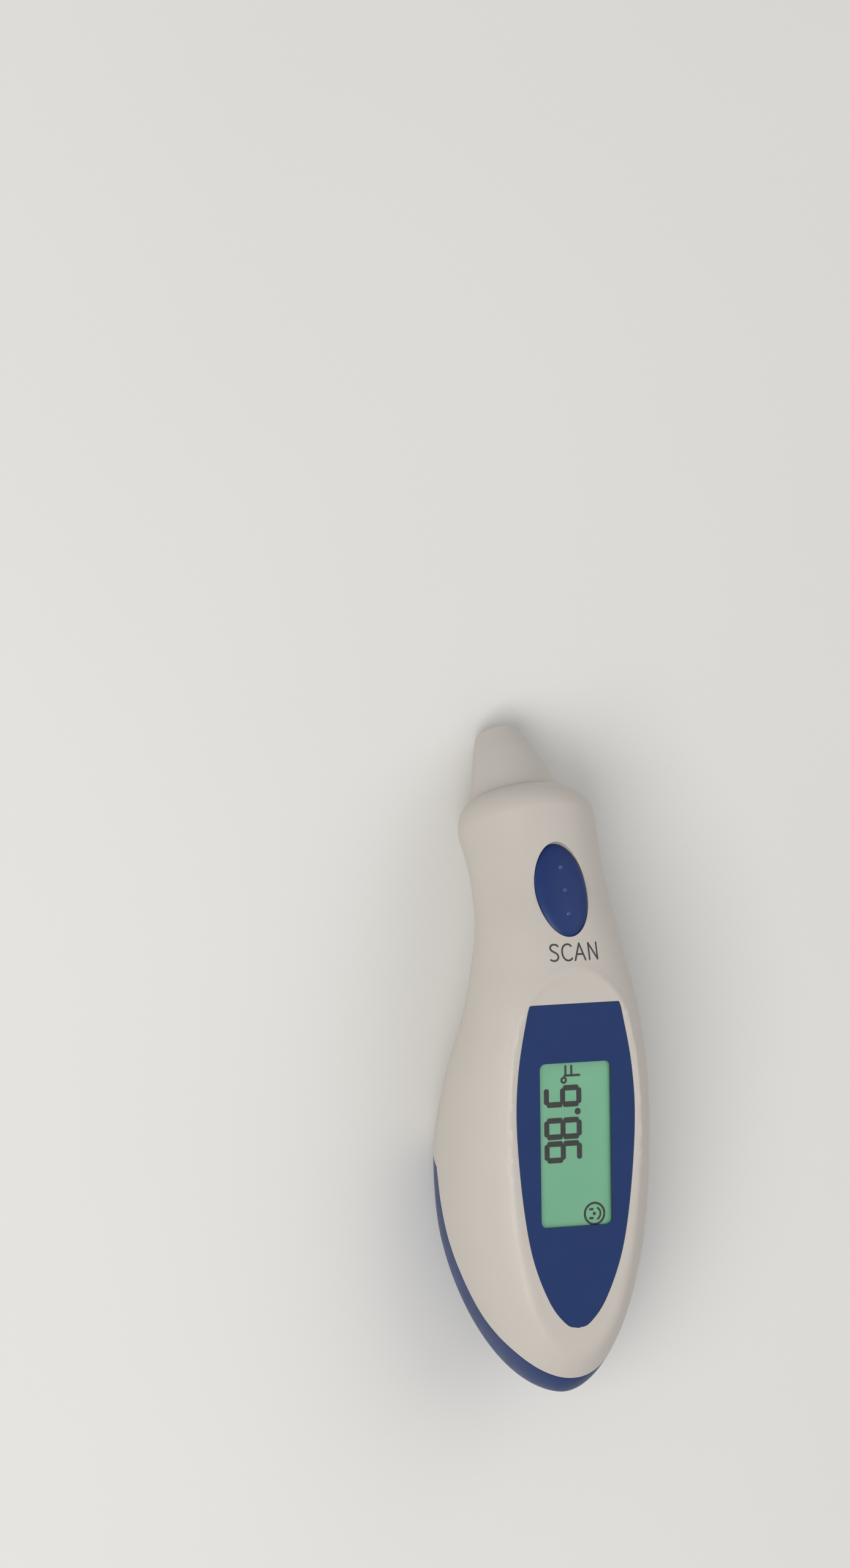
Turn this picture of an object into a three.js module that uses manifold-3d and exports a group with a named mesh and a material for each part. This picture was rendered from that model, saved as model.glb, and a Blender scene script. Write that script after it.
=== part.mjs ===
// A hand-held infrared ear thermometer, lying on its back on a table with its display up.
// Millimetres. The body is drawn in its own frame: +X to the right of the display, +Y along the
// handle from its round end to the probe, +Z out of the display. The last lines tilt that frame
// so that the belly's foot and the probe's tip rest on the plane Z = 0.
import * as THREE from "three";
import { mergeVertices } from "three/addons/utils/BufferGeometryUtils.js";
import Module from "manifold-3d";

const wasm = await Module();
wasm.setup();

const { cos, sin, sqrt, abs, sign, min, max, floor, PI } = Math;
const radians = THREE.MathUtils.degToRad;

// ---------- Driving dimensions ----------

const BELLY_END = 48; // distance from the round end to the widest section
const BELLY_HALF_WIDTH = 20.7;
const BELLY_FRONT = 21.4; // height of the belly's front line before the display facet is cut
const BELLY_BACK = -19.2;
const END_HEIGHT = 11; // height of the tip of the round end
const FRONT_ROUNDING = 21; // length over which the front line rises from the round end
const BACK_ROUNDING = 38; // length over which the back line falls from the round end

// Sections from the belly to the collar: front point (y, z), back point (y, z), half width and
// squareness (2 is an ellipse). The first only steers the curve through the others.
const SECTIONS = [
  [36, 21.7, 36, -18.8, 19.9, 2.6],
  [BELLY_END, BELLY_FRONT, BELLY_END, BELLY_BACK, BELLY_HALF_WIDTH, 2.6],
  [63, 20.8, 61.5, -14.2, 20.1, 2.55],
  [77, 19.2, 77, -7.4, 17.7, 2.45],
  [87, 16.5, 85, -7.2, 16, 2.25],
  [95, 14.1, 91.5, -7.7, 14.8, 2.08],
  [103, 10.7, 97, -9.9, 14.1, 2],
  [111.3, 7.8, 102, -13.2, 13.8, 2],
  [118.8, 5.6, 106.4, -17.6, 14.1, 2],
];
const COLLAR = SECTIONS.length - 1; // the station number of the collar
const SHOULDER_TURN = radians(70); // how far the shoulder rounds over before it meets the probe
const CREASE = { y: 117.9, z: -11.1, radius: 10, lean: radians(26) };

const WALL = 1.8;
const GAP = 0.3; // clearance between neighbouring pieces

const PROBE_TIP = { y: 130.2, z: -20.5, radius: 4.9, lean: radians(34) };
const PROBE_WALL = 1.4;
const PROBE_EDGE = 1; // rounding of the tip's edge

// The flat facet round the display, as a plane through these heights at y = 14 and y = 78.
const FACET_LOW = { y: 14, z: 19.2 };
const FACET_HIGH = { y: 78, z: 17 };

const LABEL = { low: 14.2, high: 79.5, topHalfWidth: 10, halfWidth: 13, widest: 56, depth: 0.9 };
const WINDOW = { low: 34.7, high: 67.7, halfWidth: 7.85, corner: 1 };

const BUTTON = { y: 101.9, z: 11.2, lean: radians(23.8), halfWidth: 5.55, halfLength: 9.75 };
const BUTTON_RISE = 0.8; // how far the button stands out of the casing at its middle
const BUTTON_GAP = 0.3;
const BUTTON_DOTS = [-5.2, -0.35, 4.5]; // places of the raised dots along the button
const DOT_RADIUS = 0.55;

const COVER_TOP = 49; // where the battery cover's top edge crosses the back
const REST_TILT = radians(3.7);
const REAR_CLEARANCE = 0.15; // from the back shell to the plane that the object rests on

const COLOURS = {
  casing: 0xc8c0b8,
  probe: 0xb9afa8,
  blue: 0x2b3f63,
  button: 0x2a3e6a,
  glassGreen: 0x74ab8c,
  clear: 0xdfe8e4,
  board: 0x1f6b3c,
  black: 0x202022,
  steel: 0xb9bcc0,
  brass: 0xc8a860,
  white: 0xe8e8e2,
  rubber: 0x2c2c2e,
  orange: 0xb5742a,
};

// ---------- From shapes to closed solids ----------

// A closed geometry as a manifold-3d solid.
function solid(source) {
  const bare = source.clone();
  for (const name of Object.keys(bare.attributes)) {
    if (name !== "position") bare.deleteAttribute(name);
  }
  const merged = mergeVertices(bare, 1e-4);
  const corners = [];
  for (let i = 0; i < merged.index.count; i += 3) {
    const [a, b, c] = [0, 1, 2].map((k) => merged.index.getX(i + k));
    if (a !== b && b !== c && c !== a) corners.push(a, b, c);
  }
  return new wasm.Manifold(
    new wasm.Mesh({
      numProp: 3,
      vertProperties: merged.attributes.position.array,
      triVerts: new Uint32Array(corners),
    }),
  );
}

function geometryOf(body) {
  const { vertProperties, triVerts } = body.getMesh();
  const geometry = new THREE.BufferGeometry();
  geometry.setAttribute("position", new THREE.BufferAttribute(vertProperties, 3));
  geometry.setIndex(new THREE.BufferAttribute(triVerts, 1));
  geometry.computeVertexNormals();
  return geometry;
}

const join = (first, ...others) => others.reduce((sum, other) => sum.add(other), first);
const cut = (first, ...others) => others.reduce((rest, other) => rest.subtract(other), first);

// An outline in the XY plane, extruded from one height to another.
function plate(outline, bottom, top, curveSegments = 8) {
  const geometry = new THREE.ExtrudeGeometry(outline, {
    depth: top - bottom,
    bevelEnabled: false,
    curveSegments,
  });
  return geometry.translate(0, 0, bottom);
}

// A profile of [radius, height] points turned round the Z axis.
function turned(profile, segments = 24) {
  const points = profile.map(([radius, height]) => new THREE.Vector2(radius, height));
  return new THREE.LatheGeometry(points, segments).rotateX(PI / 2);
}

function disc(radius, bottom, top, segments = 20) {
  return turned([[0, bottom], [radius, bottom], [radius, top], [0, top]], segments);
}

function ring(outer, inner, bottom, top, segments = 24) {
  const profile = [[inner, bottom], [outer, bottom], [outer, top], [inner, top]];
  return turned([...profile, profile[0]], segments);
}

function box(width, length, bottom, top, x = 0, y = 0) {
  return new THREE.BoxGeometry(width, length, top - bottom).translate(x, y, (top + bottom) / 2);
}

function rectangle(halfWidth, low, high, corner) {
  const shape = new THREE.Shape();
  shape.moveTo(halfWidth, low + corner);
  shape.lineTo(halfWidth, high - corner);
  shape.absarc(halfWidth - corner, high - corner, corner, 0, PI / 2);
  shape.lineTo(-halfWidth + corner, high);
  shape.absarc(-halfWidth + corner, high - corner, corner, PI / 2, PI);
  shape.lineTo(-halfWidth, low + corner);
  shape.absarc(-halfWidth + corner, low + corner, corner, PI, PI * 1.5);
  shape.lineTo(halfWidth - corner, low);
  shape.absarc(halfWidth - corner, low + corner, corner, PI * 1.5, PI * 2);
  return shape;
}

function ellipse(halfWidth, halfLength) {
  return new THREE.Shape().absellipse(0, 0, halfWidth, halfLength, 0, PI * 2);
}

// A side view, drawn as [y, z] points, extruded through the whole width.
function throughWidth(points, halfWidth = 30) {
  const outline = new THREE.Shape(points.map(([y, z]) => new THREE.Vector2(y, z)));
  const sideways = new THREE.Matrix4().makeBasis(
    new THREE.Vector3(0, 1, 0),
    new THREE.Vector3(0, 0, 1),
    new THREE.Vector3(1, 0, 0),
  );
  return plate(outline, -halfWidth, halfWidth).applyMatrix4(sideways);
}

// A frame at (0, y, z), its Z axis leaning by an angle from +Z towards +Y.
function leaningFrame(y, z, lean) {
  return new THREE.Matrix4().makeTranslation(0, y, z).multiply(
    new THREE.Matrix4().makeRotationX(-lean),
  );
}

// ---------- The outer skin ----------

// A quarter ellipse: 0 at the start, 1 at the end, upright at the start.
function quarter(share) {
  const rest = 1 - min(max(share, 0), 1);
  return sqrt(1 - rest * rest);
}

function catmullRom(rows, station) {
  const i = min(floor(station), rows.length - 2);
  const u = station - i;
  const next = min(i + 2, rows.length - 1);
  return rows[i].map((start, k) => {
    const end = rows[i + 1][k];
    const before = (end - rows[i - 1][k]) / 2;
    const after = next > i + 1 ? (rows[next][k] - start) / 2 : end - start;
    const cubic = (2 * start - 2 * end + before + after) * u + 3 * (end - start);
    return ((cubic - 2 * before - after) * u + before) * u + start;
  });
}

// The section at a station: 0 to 1 is the round end, then one unit for each listed section, and
// the last unit is the shoulder. It gives front y, z, back y, z, half width and squareness.
function section(station) {
  if (station <= 1) {
    const y = BELLY_END * (1 - cos((station * PI) / 2));
    const front = END_HEIGHT + (BELLY_FRONT - END_HEIGHT) * quarter(y / FRONT_ROUNDING);
    const back = END_HEIGHT - (END_HEIGHT - BELLY_BACK) * quarter(y / BACK_ROUNDING);
    const squareness = 2 + 0.6 * min(y / 30, 1);
    return [y, front, y, back, BELLY_HALF_WIDTH * quarter(y / BELLY_END), squareness];
  }
  if (station <= COLLAR) return catmullRom(SECTIONS, station);
  const turn = (station - COLLAR) * SHOULDER_TURN;
  const along = sin(turn) / sin(SHOULDER_TURN);
  const inward = (1 - cos(turn)) / (1 - cos(SHOULDER_TURN));
  const [frontY, frontZ, backY, backZ, halfWidth] = SECTIONS[COLLAR];
  const slide = (y, z, side) => {
    const stepY = CREASE.y + side * CREASE.radius * sin(CREASE.lean) - y;
    const stepZ = CREASE.z + side * CREASE.radius * cos(CREASE.lean) - z;
    const axial = (stepY * cos(CREASE.lean) - stepZ * sin(CREASE.lean)) * along;
    const radial = (stepY * sin(CREASE.lean) + stepZ * cos(CREASE.lean)) * inward;
    return [
      y + axial * cos(CREASE.lean) + radial * sin(CREASE.lean),
      z - axial * sin(CREASE.lean) + radial * cos(CREASE.lean),
    ];
  };
  const width = halfWidth + (CREASE.radius - halfWidth) * inward;
  return [...slide(frontY, frontZ, 1), ...slide(backY, backZ, -1), width, 2];
}

// The point of the skin at a station and an angle round it, 0 at the front and 90 degrees at +X.
function skinPoint(station, angle) {
  const [frontY, frontZ, backY, backZ, halfWidth, squareness] = section(station);
  const power = 2 / squareness;
  const across = sign(sin(angle)) * abs(sin(angle)) ** power;
  const upward = sign(cos(angle)) * abs(cos(angle)) ** power;
  return new THREE.Vector3(
    halfWidth * across,
    (frontY + backY) / 2 + ((frontY - backY) / 2) * upward,
    (frontZ + backZ) / 2 + ((frontZ - backZ) / 2) * upward,
  );
}

function skinNormal(station, angle) {
  const step = 1e-3;
  const last = COLLAR + 1;
  const alongSkin = skinPoint(min(station + step, last), angle).sub(
    skinPoint(max(station - step, 0), angle),
  );
  const roundSkin = skinPoint(station, angle + step).sub(skinPoint(station, angle - step));
  return roundSkin.cross(alongSkin).normalize();
}

// A closed surface from rings of points, with a middle point at each end.
function ringsToGeometry(rings, start, end) {
  const count = rings[0].length;
  const points = [start, ...rings.flat(), end];
  const index = [];
  const at = (row, column) => 1 + row * count + (column % count);
  for (let column = 0; column < count; column += 1) {
    index.push(0, at(0, column + 1), at(0, column));
    for (let row = 0; row + 1 < rings.length; row += 1) {
      index.push(at(row, column), at(row + 1, column + 1), at(row + 1, column));
      index.push(at(row, column), at(row, column + 1), at(row + 1, column + 1));
    }
    const lastRow = rings.length - 1;
    index.push(points.length - 1, at(lastRow, column), at(lastRow, column + 1));
  }
  const geometry = new THREE.BufferGeometry().setFromPoints(points);
  geometry.setIndex(index);
  return geometry;
}

const middleOf = (points) =>
  points.reduce((sum, point) => sum.add(point), new THREE.Vector3()).divideScalar(points.length);

// The solid inside the skin, moved in by a distance along the skin's normals.
function skinSolid(inset, columns, endRows, rowsPerSection) {
  const stations = [];
  for (let i = 1; i <= endRows; i += 1) stations.push(i / endRows);
  for (let i = 1; i <= COLLAR * rowsPerSection; i += 1) stations.push(1 + i / rowsPerSection);
  const rings = stations.map((station) =>
    Array.from({ length: columns }, (_, column) => {
      const angle = (column * 2 * PI) / columns;
      return skinPoint(station, angle).addScaledVector(skinNormal(station, angle), -inset);
    }),
  );
  const start = new THREE.Vector3(0, inset, END_HEIGHT);
  return solid(ringsToGeometry(rings, start, middleOf(rings.at(-1))));
}

// ---------- Frames of the sub-assemblies ----------

const facetLean = -Math.atan2(FACET_HIGH.z - FACET_LOW.z, FACET_HIGH.y - FACET_LOW.y);
const facetHeight = (y) => FACET_LOW.z - (y - FACET_LOW.y) * Math.tan(facetLean);
const windowMiddle = (WINDOW.low + WINDOW.high) / 2;
// Heights in this frame are below the facet; its origin is the middle of the display window.
const displayFrame = leaningFrame(windowMiddle, facetHeight(windowMiddle), facetLean);
const buttonFrame = leaningFrame(BUTTON.y, BUTTON.z, BUTTON.lean);
const probeLean = Math.atan2(CREASE.z - PROBE_TIP.z, PROBE_TIP.y - CREASE.y);
// Z of this frame runs along the probe, from the crease to the tip.
const probeFrame = leaningFrame(CREASE.y, CREASE.z, PI / 2 + probeLean);
const probeLength = Math.hypot(PROBE_TIP.y - CREASE.y, PROBE_TIP.z - CREASE.z);

const inDisplay = (geometry) => solid(geometry.applyMatrix4(displayFrame));
const inButton = (geometry) => solid(geometry.applyMatrix4(buttonFrame));
const inProbe = (geometry) => solid(geometry.applyMatrix4(probeFrame));

// The label: a straight top edge, bowed sides and a rounded point at the low end.
function labelOutline(grow) {
  const fromMiddle = (y) => y - windowMiddle;
  const side = new THREE.CatmullRomCurve3([
    new THREE.Vector3(LABEL.topHalfWidth + grow, fromMiddle(LABEL.high) + grow, 0),
    new THREE.Vector3(12.3 + grow, fromMiddle(67.5), 0),
    new THREE.Vector3(LABEL.halfWidth + grow, fromMiddle(LABEL.widest), 0),
    new THREE.Vector3(11.9 + grow, fromMiddle(41), 0),
    new THREE.Vector3(9.8 + grow, fromMiddle(28.9), 0),
    new THREE.Vector3(6.2 + grow, fromMiddle(19.7), 0),
    new THREE.Vector3(2.6 + grow / 2, fromMiddle(15.1) - grow / 2, 0),
    new THREE.Vector3(0, fromMiddle(LABEL.low) - grow, 0),
  ]);
  const right = side.getPoints(24);
  const left = right.slice(0, -1).reverse().map(({ x, y }) => ({ x: -x, y }));
  return new THREE.Shape([...right, ...left].map(({ x, y }) => new THREE.Vector2(x, y)).reverse());
}

// ---------- The probe ----------

const PROBE_COLUMNS = 28;
// Circles from inside the casing, through the crease, to the tip. Distance is along the axis.
const PROBE_RINGS = [
  [-3.2, 9.3],
  [0, 9.3],
  [1.2, 9.05],
  [3.2, 8.45],
  [6.5, 7.5],
  [10.5, 6.35],
];

function probeOuterRings(inset, tipCut) {
  const straight = PROBE_RINGS.map(([distance, radius]) => [distance, radius - inset]);
  const rounding = [0, 30, 60, 85].map((degrees) => {
    const angle = radians(degrees);
    const edge = PROBE_EDGE;
    return [
      probeLength - tipCut - edge * (1 - sin(angle)),
      PROBE_TIP.radius - inset - edge * (1 - cos(angle)),
    ];
  });
  return [...straight, ...rounding].map(([distance, radius]) => {
    const lean = CREASE.lean + (PROBE_TIP.lean - CREASE.lean) * max(0, distance / probeLength);
    const y = CREASE.y + distance * cos(probeLean);
    const z = CREASE.z - distance * sin(probeLean);
    return Array.from({ length: PROBE_COLUMNS }, (_, column) => {
      const angle = (column * 2 * PI) / PROBE_COLUMNS;
      const upward = radius * cos(angle);
      return new THREE.Vector3(radius * sin(angle), y + upward * sin(lean), z + upward * cos(lean));
    });
  });
}

function probeSolid(inset, tipCut) {
  const rings = probeOuterRings(inset, tipCut);
  return solid(ringsToGeometry(rings, middleOf(rings[0]), middleOf(rings.at(-1))));
}

const APERTURE = 3.4; // radius of the hole in the probe's tip

function probeCone() {
  const flange = inProbe(disc(12, -3.7, -2.6, 24)).intersect(skinSolid(WALL + 0.4, 20, 6, 2));
  const hollow = probeSolid(PROBE_WALL, 1.2);
  return cut(
    join(probeSolid(0, 0), flange),
    hollow,
    inProbe(disc(7.6, -6, 0, 30)),
    inProbe(disc(APERTURE, probeLength - 4, probeLength + 4, 24)),
  );
}

// ---------- The casing ----------

const STACK = {
  panelBottom: -0.5,
  lensTop: -0.65,
  lensBottom: -1.05,
  glassTop: -1.2,
  glassBottom: -2.4,
  ceiling: -2.8, // inner face of the casing's front wall
  boardTop: -8.2,
  boardBottom: -9.4,
};
const LENS_MARGIN = 1.2;
const OPENING_MARGIN = 0.4;

// Screws that close the casing from behind: place, and height of the split between the bosses.
const CASING_SCREWS = [
  { x: -14.8, y: 60, split: -4.5 },
  { x: 14.8, y: 60, split: -4.5 },
  { x: -8.6, y: 87, split: -1.5 },
  { x: 8.6, y: 87, split: -1.5 },
];
const TRAY_SCREWS = [
  { x: -14.6, y: 41, split: -4 },
  { x: 14.6, y: 41, split: -4 },
];
const BOSS_RADIUS = 2.3;
const SCREW = { shank: 0.9, head: 1.8, headHeight: 1.2, length: 7, bore: 1.15 };

// The side view of the joint between front shell, back shell and battery cover.
const SEAM_AT_END = [
  [3.4, 26],
  [3.4, 17],
  [5, 15.6],
  [9, 12.2],
  [12.5, 8.8],
  [16.6, 5.4],
  [23.6, 1.3],
  [30.6, -2],
  [37.7, -3.9],
  [42, -4.7],
];
const SEAM_CORNER = [[44.6, -5.4], [46.6, -9.5]];
const SEAM_ON_NECK = [
  [55, -4.8],
  [62, -4.1],
  [77, -0.8],
  [92, -1.4],
  [104, -6.6],
  [112, -11.6],
  [124, -19],
];

const shift = (points, y, z) => points.map(([py, pz]) => [py + y, pz + z]);
const half = GAP / 2;

const frontZone = solid(
  throughWidth([
    ...shift([...SEAM_AT_END, ...SEAM_CORNER, ...SEAM_ON_NECK], half / 2, half),
    [150, -19],
    [150, 40],
    [SEAM_AT_END[0][0] + half / 2, 40],
  ]),
);
const coverZone = solid(
  throughWidth([
    [-10, 40],
    [SEAM_AT_END[0][0] - half, 40],
    ...shift([...SEAM_AT_END, ...SEAM_CORNER], -half, -half),
    [COVER_TOP - half, -30],
    [-10, -30],
  ]),
);
const rearZone = solid(
  throughWidth([
    ...shift([SEAM_CORNER[1], ...SEAM_ON_NECK], half, -half),
    [124, -40],
    [COVER_TOP + half, -30],
  ]),
);

const outer = skinSolid(0, 32, 9, 2);
const cavity = skinSolid(WALL, 20, 6, 2).subtract(
  inDisplay(plate(rectangle(30, -70, 33.5, 1), STACK.ceiling, 20)),
);
const facetCut = inDisplay(plate(rectangle(30, -70, 40, 1), 0, 20));
const shell = cut(outer, cavity, facetCut, probeSolid(-GAP, 0));

// A boss hanging from the front wall to a height, and the bore in its free end.
const bossFrom = ({ x, y, split }) => solid(disc(BOSS_RADIUS, split, 30, 14).translate(x, y, 0));
const boreInto = ({ x, y, split }) =>
  solid(disc(SCREW.bore, split - 1, split + 6, 12).translate(x, y, 0));

const BOARD_SCREWS = [-10.6, 10.6].map((x) => ({ x, y: -25.5 }));
const SWITCH_BOARD_SCREWS = [-9, 9].map((x) => ({ x, y: 0 }));
const SWITCH_BOARD = { top: -10.8, bottom: -11.8, halfWidth: 10.8, halfLength: 6 };
const POST_RADIUS = 1.7;
const PILOT = 0.85; // bore radius in a post
const PIN = 0.6; // shank radius of a board screw

function postsFor(screws, inFrame, floorHeight) {
  return screws.map(({ x, y }) =>
    inFrame(disc(POST_RADIUS, floorHeight + 0.2, 12, 12).translate(x, y, 0)),
  );
}

function pilotsFor(screws, inFrame, floorHeight) {
  return screws.map(({ x, y }) =>
    inFrame(disc(PILOT, floorHeight - 1, floorHeight + 3.4, 10).translate(x, y, 0)),
  );
}

const buttonHole = inButton(
  plate(ellipse(BUTTON.halfWidth + BUTTON_GAP, BUTTON.halfLength + BUTTON_GAP), -8, 8, 20),
);

function frontCasing() {
  const wallOnly = shell.intersect(frontZone);
  const insideSkin = skinSolid(WALL / 2, 16, 6, 1).subtract(facetCut);
  const posts = join(
    ...[...CASING_SCREWS, ...TRAY_SCREWS].map(bossFrom),
    ...postsFor(BOARD_SCREWS, inDisplay, STACK.boardTop),
    ...postsFor(SWITCH_BOARD_SCREWS, inButton, SWITCH_BOARD.top),
  ).intersect(insideSkin);
  const labelRecess = inDisplay(plate(labelOutline(0.15), -LABEL.depth, 5));
  const halfLength = (WINDOW.high - WINDOW.low) / 2;
  const lensRecess = rectangle(
    WINDOW.halfWidth + LENS_MARGIN + 0.2,
    -halfLength - LENS_MARGIN - 0.2,
    halfLength + LENS_MARGIN + 0.2,
    1,
  );
  const opening = rectangle(
    WINDOW.halfWidth + OPENING_MARGIN,
    -halfLength - OPENING_MARGIN,
    halfLength + OPENING_MARGIN,
    1,
  );
  return cut(
    wallOnly.add(posts),
    labelRecess,
    inDisplay(plate(lensRecess, -1.2, 5, 3)),
    inDisplay(plate(opening, -6, 5, 3)),
    buttonHole,
    ...[...CASING_SCREWS, ...TRAY_SCREWS].map(boreInto),
    ...pilotsFor(BOARD_SCREWS, inDisplay, STACK.boardTop),
    ...pilotsFor(SWITCH_BOARD_SCREWS, inButton, SWITCH_BOARD.top),
  );
}

// The back shell, with a sleeve under each screw that meets the front shell's boss.
const SCREW_SEAT = 2.6; // thickness under a screw's head, from the split of the bosses
function rearCasing() {
  const insideSkin = skinSolid(WALL / 2, 16, 6, 1);
  const sleeves = CASING_SCREWS.map(({ x, y, split }) =>
    solid(disc(BOSS_RADIUS + 0.6, -30, split - GAP, 14).translate(x, y, 0)),
  );
  const holes = CASING_SCREWS.flatMap(({ x, y, split }) => [
    solid(disc(SCREW.bore, -30, split, 12).translate(x, y, 0)),
    solid(disc(SCREW.head + 0.3, -30, split - SCREW_SEAT, 14).translate(x, y, 0)),
  ]);
  const wall = shell.intersect(rearZone);
  return cut(join(wall, ...sleeves.map((sleeve) => sleeve.intersect(insideSkin))), ...holes);
}

// ---------- Small pieces ----------

// A screw pointing along +Z, its head's underside at a height.
function screw(shankRadius, headRadius, headHeight, length, seat) {
  const slot = solid(box(headRadius * 1.5, 0.5, seat - headHeight - 1, seat - headHeight * 0.5));
  const profile = [
    [0, seat - headHeight],
    [headRadius * 0.75, seat - headHeight],
    [headRadius, seat - headHeight * 0.6],
    [headRadius, seat],
    [shankRadius, seat],
    [shankRadius, seat + length - shankRadius],
    [0, seat + length],
  ];
  return cut(solid(turned(profile, 10)), slot);
}

// A flat strip of a width that follows points in the (y, z) plane.
function strip(points, width, thickness) {
  const path = new THREE.CatmullRomCurve3(points.map(([y, z]) => new THREE.Vector3(0, y, z)));
  const corners = [[-1, -1], [1, -1], [1, 1], [-1, 1]];
  const outline = new THREE.Shape(
    corners.map(([a, b]) => new THREE.Vector2((a * width) / 2, (b * thickness) / 2)),
  );
  return new THREE.ExtrudeGeometry(outline, { steps: 16, extrudePath: path });
}

// A bent metal strip: its side view as [y, z] points, with a width across X.
function bentStrip(points, thickness, width) {
  const offsets = points.map(([y, z], i) => {
    const [beforeY, beforeZ] = points[max(i - 1, 0)];
    const [afterY, afterZ] = points[min(i + 1, points.length - 1)];
    const length = Math.hypot(afterY - beforeY, afterZ - beforeZ);
    const normal = [-(afterZ - beforeZ) / length, (afterY - beforeY) / length];
    return [y + normal[0] * thickness, z + normal[1] * thickness];
  });
  return throughWidth([...points, ...offsets.reverse()], width / 2);
}

// ---------- The assembly ----------

const material = (color, roughness, metalness = 0) =>
  new THREE.MeshStandardMaterial({ color, roughness, metalness });
const finish = {
  casing: material(COLOURS.casing, 0.45),
  probe: material(COLOURS.probe, 0.45),
  blue: material(COLOURS.blue, 0.4),
  button: material(COLOURS.button, 0.3),
  green: material(COLOURS.glassGreen, 0.3),
  clear: material(COLOURS.clear, 0.05),
  board: material(COLOURS.board, 0.5),
  black: material(COLOURS.black, 0.5),
  steel: material(COLOURS.steel, 0.3, 1),
  brass: material(COLOURS.brass, 0.3, 1),
  white: material(COLOURS.white, 0.6),
  rubber: material(COLOURS.rubber, 0.8),
  cable: material(COLOURS.orange, 0.6),
};

const body = new THREE.Group();
const display = new THREE.Group();
const button = new THREE.Group();
const probe = new THREE.Group();
body.add(display, button, probe);
display.applyMatrix4(displayFrame);
button.applyMatrix4(buttonFrame);
probe.applyMatrix4(probeFrame);

function add(group, name, shape, look) {
  const geometry = shape.isBufferGeometry ? shape : geometryOf(shape);
  const mesh = new THREE.Mesh(geometry, look);
  mesh.name = name;
  group.add(mesh);
  return mesh;
}

function addDisplayStack() {
  const halfLength = (WINDOW.high - WINDOW.low) / 2;
  const { halfWidth, corner } = WINDOW;
  const panel = cut(
    solid(plate(labelOutline(0), STACK.panelBottom, 0)),
    solid(plate(rectangle(halfWidth, -halfLength, halfLength, corner), -2, 2, 4)),
  );
  add(display, "display_panel", panel, finish.blue);
  const lens = rectangle(
    halfWidth + LENS_MARGIN,
    -halfLength - LENS_MARGIN,
    halfLength + LENS_MARGIN,
    corner,
  );
  add(display, "display_window", plate(lens, STACK.lensBottom, STACK.lensTop, 3), finish.clear);
  const glass = rectangle(halfWidth + 0.1, -halfLength - 0.1, halfLength + 0.1, 0.4);
  add(display, "lcd_glass", plate(glass, STACK.glassBottom, STACK.glassTop, 2), finish.green);

  const zebraWidth = 1.8;
  const zebraY = halfLength - 1.4;
  const plateTop = STACK.glassBottom - 0.2;
  const backlight = box(
    2 * halfWidth - 0.6,
    2 * halfLength - 4,
    plateTop - 1.8,
    plateTop,
    0,
    -1.6,
  );
  add(display, "lcd_backlight", backlight, finish.white);
  const zebra = box(2 * halfWidth - 1, zebraWidth, STACK.boardTop + 0.2, plateTop, 0, zebraY);
  add(display, "zebra_connector", zebra, finish.rubber);
  const frame = cut(
    solid(
      plate(rectangle(halfWidth + 2.4, -halfLength - 2, halfLength + 2, 1.2), -5.2, -3, 3),
    ),
    solid(box(2 * halfWidth + 0.2, 2 * halfLength + 0.2, -6, -2)),
  );
  add(display, "lcd_frame", frame, finish.black);
}

function addMainBoard() {
  const low = -29;
  const high = 32;
  const outline = rectangle(12, low, high, 3);
  for (const { x, y } of BOARD_SCREWS) {
    outline.holes.push(new THREE.Path().absarc(x, y, PILOT, 0, PI * 2, true));
  }
  const { boardTop, boardBottom } = STACK;
  add(display, "main_board", plate(outline, boardBottom, boardTop, 4), finish.board);
  const under = boardBottom - 0.2;
  const over = boardTop + 0.2;
  add(display, "microcontroller", box(9, 9, under - 1.4, under, 0, -4), finish.black);
  add(display, "crystal", box(3.2, 7, under - 1.8, under, -8.6, 6), finish.steel);
  add(display, "buzzer", ring(6, 1.2, under - 3, under, 28).translate(0, 20, 0), finish.black);
  [-1, 1].forEach((side, i) => {
    const number = i + 1;
    const capacitor = box(3.4, 1.8, under - 1.6, under, side * 8.4, -13);
    add(display, `capacitor_${number}`, capacitor, finish.cable);
    const lamp = box(2, 1.2, over, over + 1.2, side * 4, -10);
    add(display, `backlight_led_${number}`, lamp, finish.white);
    const { x, y } = BOARD_SCREWS[i];
    const fixing = screw(PIN, 1.6, 1, 3.6, boardBottom - 0.2).translate(x, y, 0);
    add(display, `board_screw_${number}`, fixing, finish.steel);
  });
}

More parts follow.
